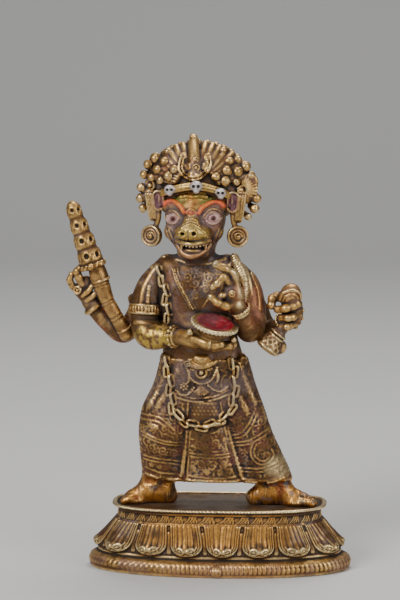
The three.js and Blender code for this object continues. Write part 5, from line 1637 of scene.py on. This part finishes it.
def plinth_relief(run, z, pitch, is_back):
    """How far the carving stands out at a way along the outline and a height, in millimetres."""
    petal = np.round((run - PETAL_SHIFT) / pitch)
    u = (run - PETAL_SHIFT - petal * pitch) / (pitch * 0.445)
    tip_round = 5.6
    below = np.maximum(PETAL_TIP + tip_round - z, 0) / tip_round
    edge = length_of(u, below)
    inside = smoothstep(1.03, 0.97, edge) * smoothstep(PETAL_TIP - 0.4, PETAL_TIP + 0.2, z) * smoothstep(PETAL_TOP + 0.3, PETAL_TOP - 0.3, z)

    def ridge(value, middle, width):
        return np.sqrt(np.maximum(1 - ((value - middle) / width) ** 2, 0))

    made = inside * 0.55
    made += inside * 0.5 * ridge(edge, 0.93, 0.07) + inside * 0.4 * ridge(edge, 0.77, 0.055)
    fluted = inside * smoothstep(0.72, 0.66, edge) * smoothstep(13.4, 14.6, z)
    made += fluted * 0.3 * (np.abs(np.cos(u * math.pi * 3.1)) - 0.4)
    tip = inside * smoothstep(0.74, 0.6, edge) * np.exp(-((z - 12.3) / 2.0) ** 2)
    made += tip * 0.9
    for side in (-1, 1):
        away = length_of((u - side * 0.3) * pitch * 0.445, z - 12.4)
        made += inside * 0.4 * ridge(away, 1.5, 0.42) + inside * 0.45 * ridge(away, 0, 0.6)
    between = length_of((np.abs(u) - pitch / (pitch * 0.89)) * 4.4, np.maximum(np.abs(z - 15.5) - 4.5, 0) / 1.6)
    made += 0.5 * ridge(between, 0, 0.62) * (1 - inside) * smoothstep(PETAL_TIP, PETAL_TIP + 1.4, z)
    made *= np.where(is_back, 0.75, 1)

    made += 0.45 * ridge(z, BAND_BOTTOM, 0.5) + 0.4 * ridge(z, BAND_TOP, 0.45)
    fret_pitch = 7.2
    across = (run / fret_pitch) % 1
    lean = (z - BAND_BOTTOM - 0.6) / (BAND_TOP - BAND_BOTTOM - 1.2)
    on_band = smoothstep(BAND_BOTTOM + 0.5, BAND_BOTTOM + 0.9, z) * smoothstep(BAND_TOP - 0.5, BAND_TOP - 0.9, z)
    strokes = np.zeros(np.broadcast(run, z).shape)
    for start, bend in ((0.0, 1), (0.2, 1), (0.4, 1), (0.66, -0.55), (0.84, -0.55)):
        middle = (start + 0.42 * bend * lean + 0.1 * np.sin(lean * math.pi)) % 1
        gap = np.abs((across - middle + 0.5) % 1 - 0.5) * fret_pitch
        strokes = np.maximum(strokes, ridge(gap, 0, 0.42))
    made += 0.36 * strokes * on_band

    ribs = np.sqrt(np.abs(np.cos(math.pi * run / 1.95)))
    rib_share = np.where(run > -34, smoothstep(-34, -14, run), 0.25) * smoothstep(100, 84, np.abs(run))
    made += 0.42 * (ribs - 0.6) * rib_share * smoothstep(1.4, 2.6, z) * smoothstep(6.8, 5.8, z)
    bumps = ridge(length_of((run / 2.3) % 1 * 2.3 - 1.15, (z - 4.9) * 0.8), 0, 0.85)
    made += 0.4 * bumps * smoothstep(-52, -42, run) * smoothstep(-16, -26, run)
    made -= 0.5 * ridge(z, 7.9, 0.5)
    made += 0.3 * ridge(z, 8.9, 0.45)
    mark = length_of((run + 0.4) / 3.2, (z - 3.2) / 2.8)
    made += 1.2 * np.sqrt(np.maximum(1 - mark * mark, 0))

    bead = length_of((run / 1.42) % 1 * 1.42 - 0.71, z - BEAD_LEVEL)
    made += 0.62 * ridge(bead, 0, 0.66)
    return made


def lotus_plinth(material):
    """The oval plinth: ribbed roll, lotus petals, fretwork band, beaded rim and sunken deck."""
    angles, length = plinth_outline()
    run = np.linspace(0, length, PLINTH_COLUMNS, endpoint=False)
    run = np.where(run > length / 2, run - length, run)
    profile = np.array(PLINTH_PROFILE)
    steps = np.hypot(np.diff(profile[:, 0]), np.diff(profile[:, 1]) * 0.7)
    way = np.concatenate([[0], np.cumsum(steps)])
    rows = np.arange(0, way[-1] + 0.25, 0.5)
    rows = rows * way[-1] / rows[-1]
    levels = np.stack([np.interp(rows, way, column) for column in profile.T], 1)
    wobble = blurred_row(levels, 1)
    levels[1:-1] = wobble[1:-1]
    petal_wave = 0.5 + 0.5 * np.cos(2 * math.pi * (run - PETAL_SHIFT) / (length / PETALS))
    is_back = np.sin(angles) > 0.2
    ring_points = []
    outer = levels[:, 0] < 32.5
    top_row = int(levels[:, 0].argmax())
    for i, (z, half_length, front, roundness, swell) in enumerate(levels):
        proud = swell * petal_wave
        x, y = plinth_point(angles, half_length + proud, front + proud, roundness)
        if i <= top_row and outer[i] and z > 0.3:
            tangent_x, tangent_y = np.roll(x, -1) - np.roll(x, 1), np.roll(y, -1) - np.roll(y, 1)
            size = np.hypot(tangent_x, tangent_y)
            height = plinth_relief(run, np.full(len(run), z), length / PETALS, is_back)
            x, y = x + tangent_y / size * height, y - tangent_x / size * height
        ring_points.append(np.stack([x, y, np.full(len(x), z)], 1))
    edge = ring_points[-1]
    for share in (0.95, 0.9, 0.84, 0.77, 0.69, 0.6, 0.5, 0.4, 0.3, 0.2, 0.1, 0.02):
        sink = 0.12 * (1 - share)
        inner = edge * (share, share, 1) + (0, 0, -sink)
        ring_points.append(inner)
    base = ring_points[0]
    underside = [base * (share, share, 1) for share in (0.02, 0.35, 0.7, 0.94)]
    rings = underside + ring_points
    points = np.concatenate(rings)
    count = PLINTH_COLUMNS
    row, column = np.indices((len(rings) - 1, count))
    beside = (column + 1) % count
    quads = np.stack([row * count + column, row * count + beside, (row + 1) * count + beside, (row + 1) * count + column], -1).reshape(-1, 4)
    cap = np.arange(count)
    first, last = [], (len(rings) - 1) * count
    for i in range(1, count // 2):
        first.append((cap[i - 1] if i > 1 else 0, cap[count - i], cap[count - i - 1], cap[i])) if False else None
    closing = plinth_caps(count, last)
    quads = np.concatenate([quads, closing])
    points = lump(points)
    relief = plinth_shade(points, quads)
    finish = Finish(points, relief, np.maximum(-relief, 0))
    paint_plinth(finish, run, len(rings))
    return put_mesh("lotus_plinth_cast", points, quads, finish, material, "lotus_plinth")


def blurred_row(levels, reach):
    """Each level as the mean of itself and its neighbours, which rounds the profile's corners."""
    padded = np.pad(levels, [(reach, reach), (0, 0)], mode="edge")
    return sum(padded[i:i + len(levels)] for i in range(2 * reach + 1)) / (2 * reach + 1)


def plinth_caps(count, last):
    """Strips of quads that close the small holes in the middle of the underside and the deck."""
    made = []
    for i in range(count // 2 - 1):
        a, b, c, d = i, i + 1, count - 2 - i, count - 1 - i
        made.append((d, c, b, a))
        made.append((last + a, last + b, last + c, last + d))
    return np.array(made)


def lump(points):
    """Small dents and swellings of a hand-finished casting, none on the underside."""
    outward = points * (1, 1, 0)
    outward /= np.maximum(np.linalg.norm(outward, axis=1), 1)[:, None]
    height = (noise(points, 6, 201) - 0.5) * 0.24 + (noise(points, 2.2, 202) - 0.5) * 0.12
    side = smoothstep(0.1, 1, points[:, 2]) * smoothstep(1.5, 6, np.abs(points[:, 1]))
    return points + outward * (height * side)[:, None]


def plinth_shade(points, quads):
    """How far each point stands out from its neighbourhood, from the bending of the mesh around it."""
    total = np.zeros_like(points)
    parts = np.zeros(len(points))
    smooth = points.copy()
    for _ in range(5):
        total[:] = 0
        parts[:] = 0
        middle = smooth[quads].mean(1)
        for i in range(4):
            for axis in range(3):
                total[:, axis] += np.bincount(quads[:, i], middle[:, axis], len(points))
            parts += np.bincount(quads[:, i], minlength=len(points))
        smooth = total / np.maximum(parts, 1)[:, None]
    across = points[quads[:, 2]] - points[quads[:, 0]]
    along = points[quads[:, 3]] - points[quads[:, 1]]
    normal = np.cross(across, along)
    facing = np.zeros_like(points)
    for i in range(4):
        for axis in range(3):
            facing[:, axis] += np.bincount(quads[:, i], normal[:, axis], len(points))
    facing /= np.maximum(np.linalg.norm(facing, axis=1), 1e-9)[:, None]
    return ((points - smooth) * facing).sum(1) * 3.2


def paint_plinth(finish, run, ring_count):
    """Orange gold, partly a painted highlight, over the front's middle; painted highlights on the petal tips, the
    roll's front ribs and the beaded rim; purplish brown to the sides and below; and a greyish deck.
    """
    finish.cast(film=0.6, gold=0.9, warm=0.4, seed=131)
    along = np.abs(np.tile(run, ring_count))
    front = smoothstep(44, 16, along) * (finish.y < 4)
    cloud = noise(finish.points, 5, 135)
    upper = smoothstep(12.5, 16.5, finish.z) * smoothstep(30.6, 29.8, finish.z)
    # gilt with a painted highlight: orange gold, brightest over the front's middle and fading to the sides
    front_gilt_and_highlight = front * upper * smoothstep(-0.3, 0.1, finish.relief) * smoothstep(0.12, 0.45, cloud)
    finish.lay(front_gilt_and_highlight * 0.8, (232, 170, 88), 0.33, 1)
    # painted highlight: pale gold on the raised petal tips at the front
    tip_highlight = smoothstep(9.4, 10.4, finish.z) * smoothstep(15.5, 13, finish.z) * smoothstep(64, 40, along)
    finish.lay(tip_highlight * smoothstep(0.05, 0.4, finish.relief) * 0.75, HIGHLIGHT_GOLD, 0.3, 1)
    roll = smoothstep(7.6, 6.8, finish.z)
    finish.lay(roll * smoothstep(0.4, 0.62, cloud) * 0.5, (128, 96, 92), 0.5, 0.7)
    # gilt ribs of the roll, with a painted highlight where they face the front's middle
    finish.lay(roll * front * smoothstep(0.02, 0.3, finish.relief) * 0.6, (226, 172, 112), 0.34, 1)
    # painted highlight: near-white on the raised beads of the rim
    rim_highlight = smoothstep(30.6, 30.9, finish.z) * smoothstep(0.1, 0.4, finish.relief)
    finish.lay(rim_highlight * 0.8, (236, 212, 164), 0.32, 1)
    deck = smoothstep(48, 46.4, np.abs(finish.x)) * (finish.z > 30.4) * (finish.z < 31.3)
    inner = 1 - smoothstep(0.72, 0.95, length_of((finish.x - 1) / 46, (finish.y + 1) / 19))
    finish.lay(deck * 0.85, (98, 78, 60), 0.5, 0.7)
    finish.lay(deck * inner * smoothstep(0.2, 0.6, noise(finish.points, 7, 137)) * 0.6, (136, 126, 116), 0.5, 0.6)
    finish.lay(deck * smoothstep(0.6, 0.8, noise(finish.points, 3, 138)) * 0.3, (150, 116, 74), 0.42, 0.9)


# Floor, light and camera

CAMERA_PLACE = (0.06019, -1.14842, 0.300)
CAMERA_AIM = (-0.00939, 0, 0.12871)
CAMERA_LENS = 147.48


def floor_material():
    """Plain pale matt floor."""
    material = bpy.data.materials.new("pale_floor")
    material.use_nodes = True
    nodes, links = material.node_tree.nodes, material.node_tree.links
    shader = nodes["Principled BSDF"]
    shader.inputs["Roughness"].default_value = 0.85
    fleck = nodes.new("ShaderNodeTexNoise")
    fleck.inputs["Scale"].default_value = 6
    tone = nodes.new("ShaderNodeValToRGB")
    tone.color_ramp.elements[0].color = (0.55, 0.54, 0.52, 1)
    tone.color_ramp.elements[1].color = (0.6, 0.59, 0.57, 1)
    links.new(fleck.outputs["Fac"], tone.inputs[0])
    links.new(tone.outputs["Color"], shader.inputs["Base Color"])
    return material


def studio():
    """A pale floor that curves up into a backdrop, two large soft lights, and the camera."""
    width, front, back, bend = 3.0, -2.6, 1.1, 0.6
    profile = [(front, 0.0)]
    for i in range(13):
        angle = math.radians(i * 7.5)
        profile.append((back + bend * math.sin(angle), bend * (1 - math.cos(angle))))
    profile.append((back + bend, 2.6))
    mesh = bpy.data.meshes.new("floor")
    corners = [(side * width, y, z) for y, z in profile for side in (-1, 1)]
    faces = [(2 * i, 2 * i + 1, 2 * i + 3, 2 * i + 2) for i in range(len(profile) - 1)]
    mesh.from_pydata(corners, [], faces)
    mesh.polygons.foreach_set("use_smooth", [True] * len(faces))
    mesh.materials.append(floor_material())
    floor = bpy.data.objects.new("floor", mesh)
    bpy.context.scene.collection.objects.link(floor)
    floor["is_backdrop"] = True

    for name, place, aim, size, power in (("key", (-0.75, -0.95, 0.95), (0, 0, 0.1), 0.55, 16),
                                          ("fill", (0.95, -0.75, 0.6), (0, 0, 0.1), 0.7, 7),
                                          ("top", (0.1, 0.25, 1.15), (0, 0, 0.1), 0.6, 8)):
        light = bpy.data.lights.new(name, "AREA")
        light.size = size
        light.energy = power
        lamp = bpy.data.objects.new(name, light)
        lamp.location = place
        lamp.rotation_euler = (Vector(aim) - Vector(place)).to_track_quat("-Z", "Y").to_euler()
        bpy.context.scene.collection.objects.link(lamp)

    world = bpy.data.worlds.new("studio")
    world.use_nodes = True
    world.node_tree.nodes["Background"].inputs["Color"].default_value = (0.9, 0.92, 1, 1)
    world.node_tree.nodes["Background"].inputs["Strength"].default_value = 0.25
    bpy.context.scene.world = world

    lens = bpy.data.cameras.new("camera")
    lens.lens = CAMERA_LENS
    lens.clip_start = 0.05
    camera = bpy.data.objects.new("camera", lens)
    camera.location = CAMERA_PLACE
    camera.rotation_euler = (Vector(CAMERA_AIM) - Vector(CAMERA_PLACE)).to_track_quat("-Z", "Y").to_euler()
    bpy.context.scene.collection.objects.link(camera)
    bpy.context.scene.camera = camera


def main():
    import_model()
    studio()
    figure_metal = cast_metal("cast_bronze")
    plinth_metal = cast_metal("plinth_bronze")
    lotus_plinth(plinth_metal)
    skirt_and_legs(figure_metal)
    torso_and_front_arms(figure_metal)
    club_arm(figure_metal)
    mace_arm(figure_metal)
    head(figure_metal)
    hair(figure_metal)
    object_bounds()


main()
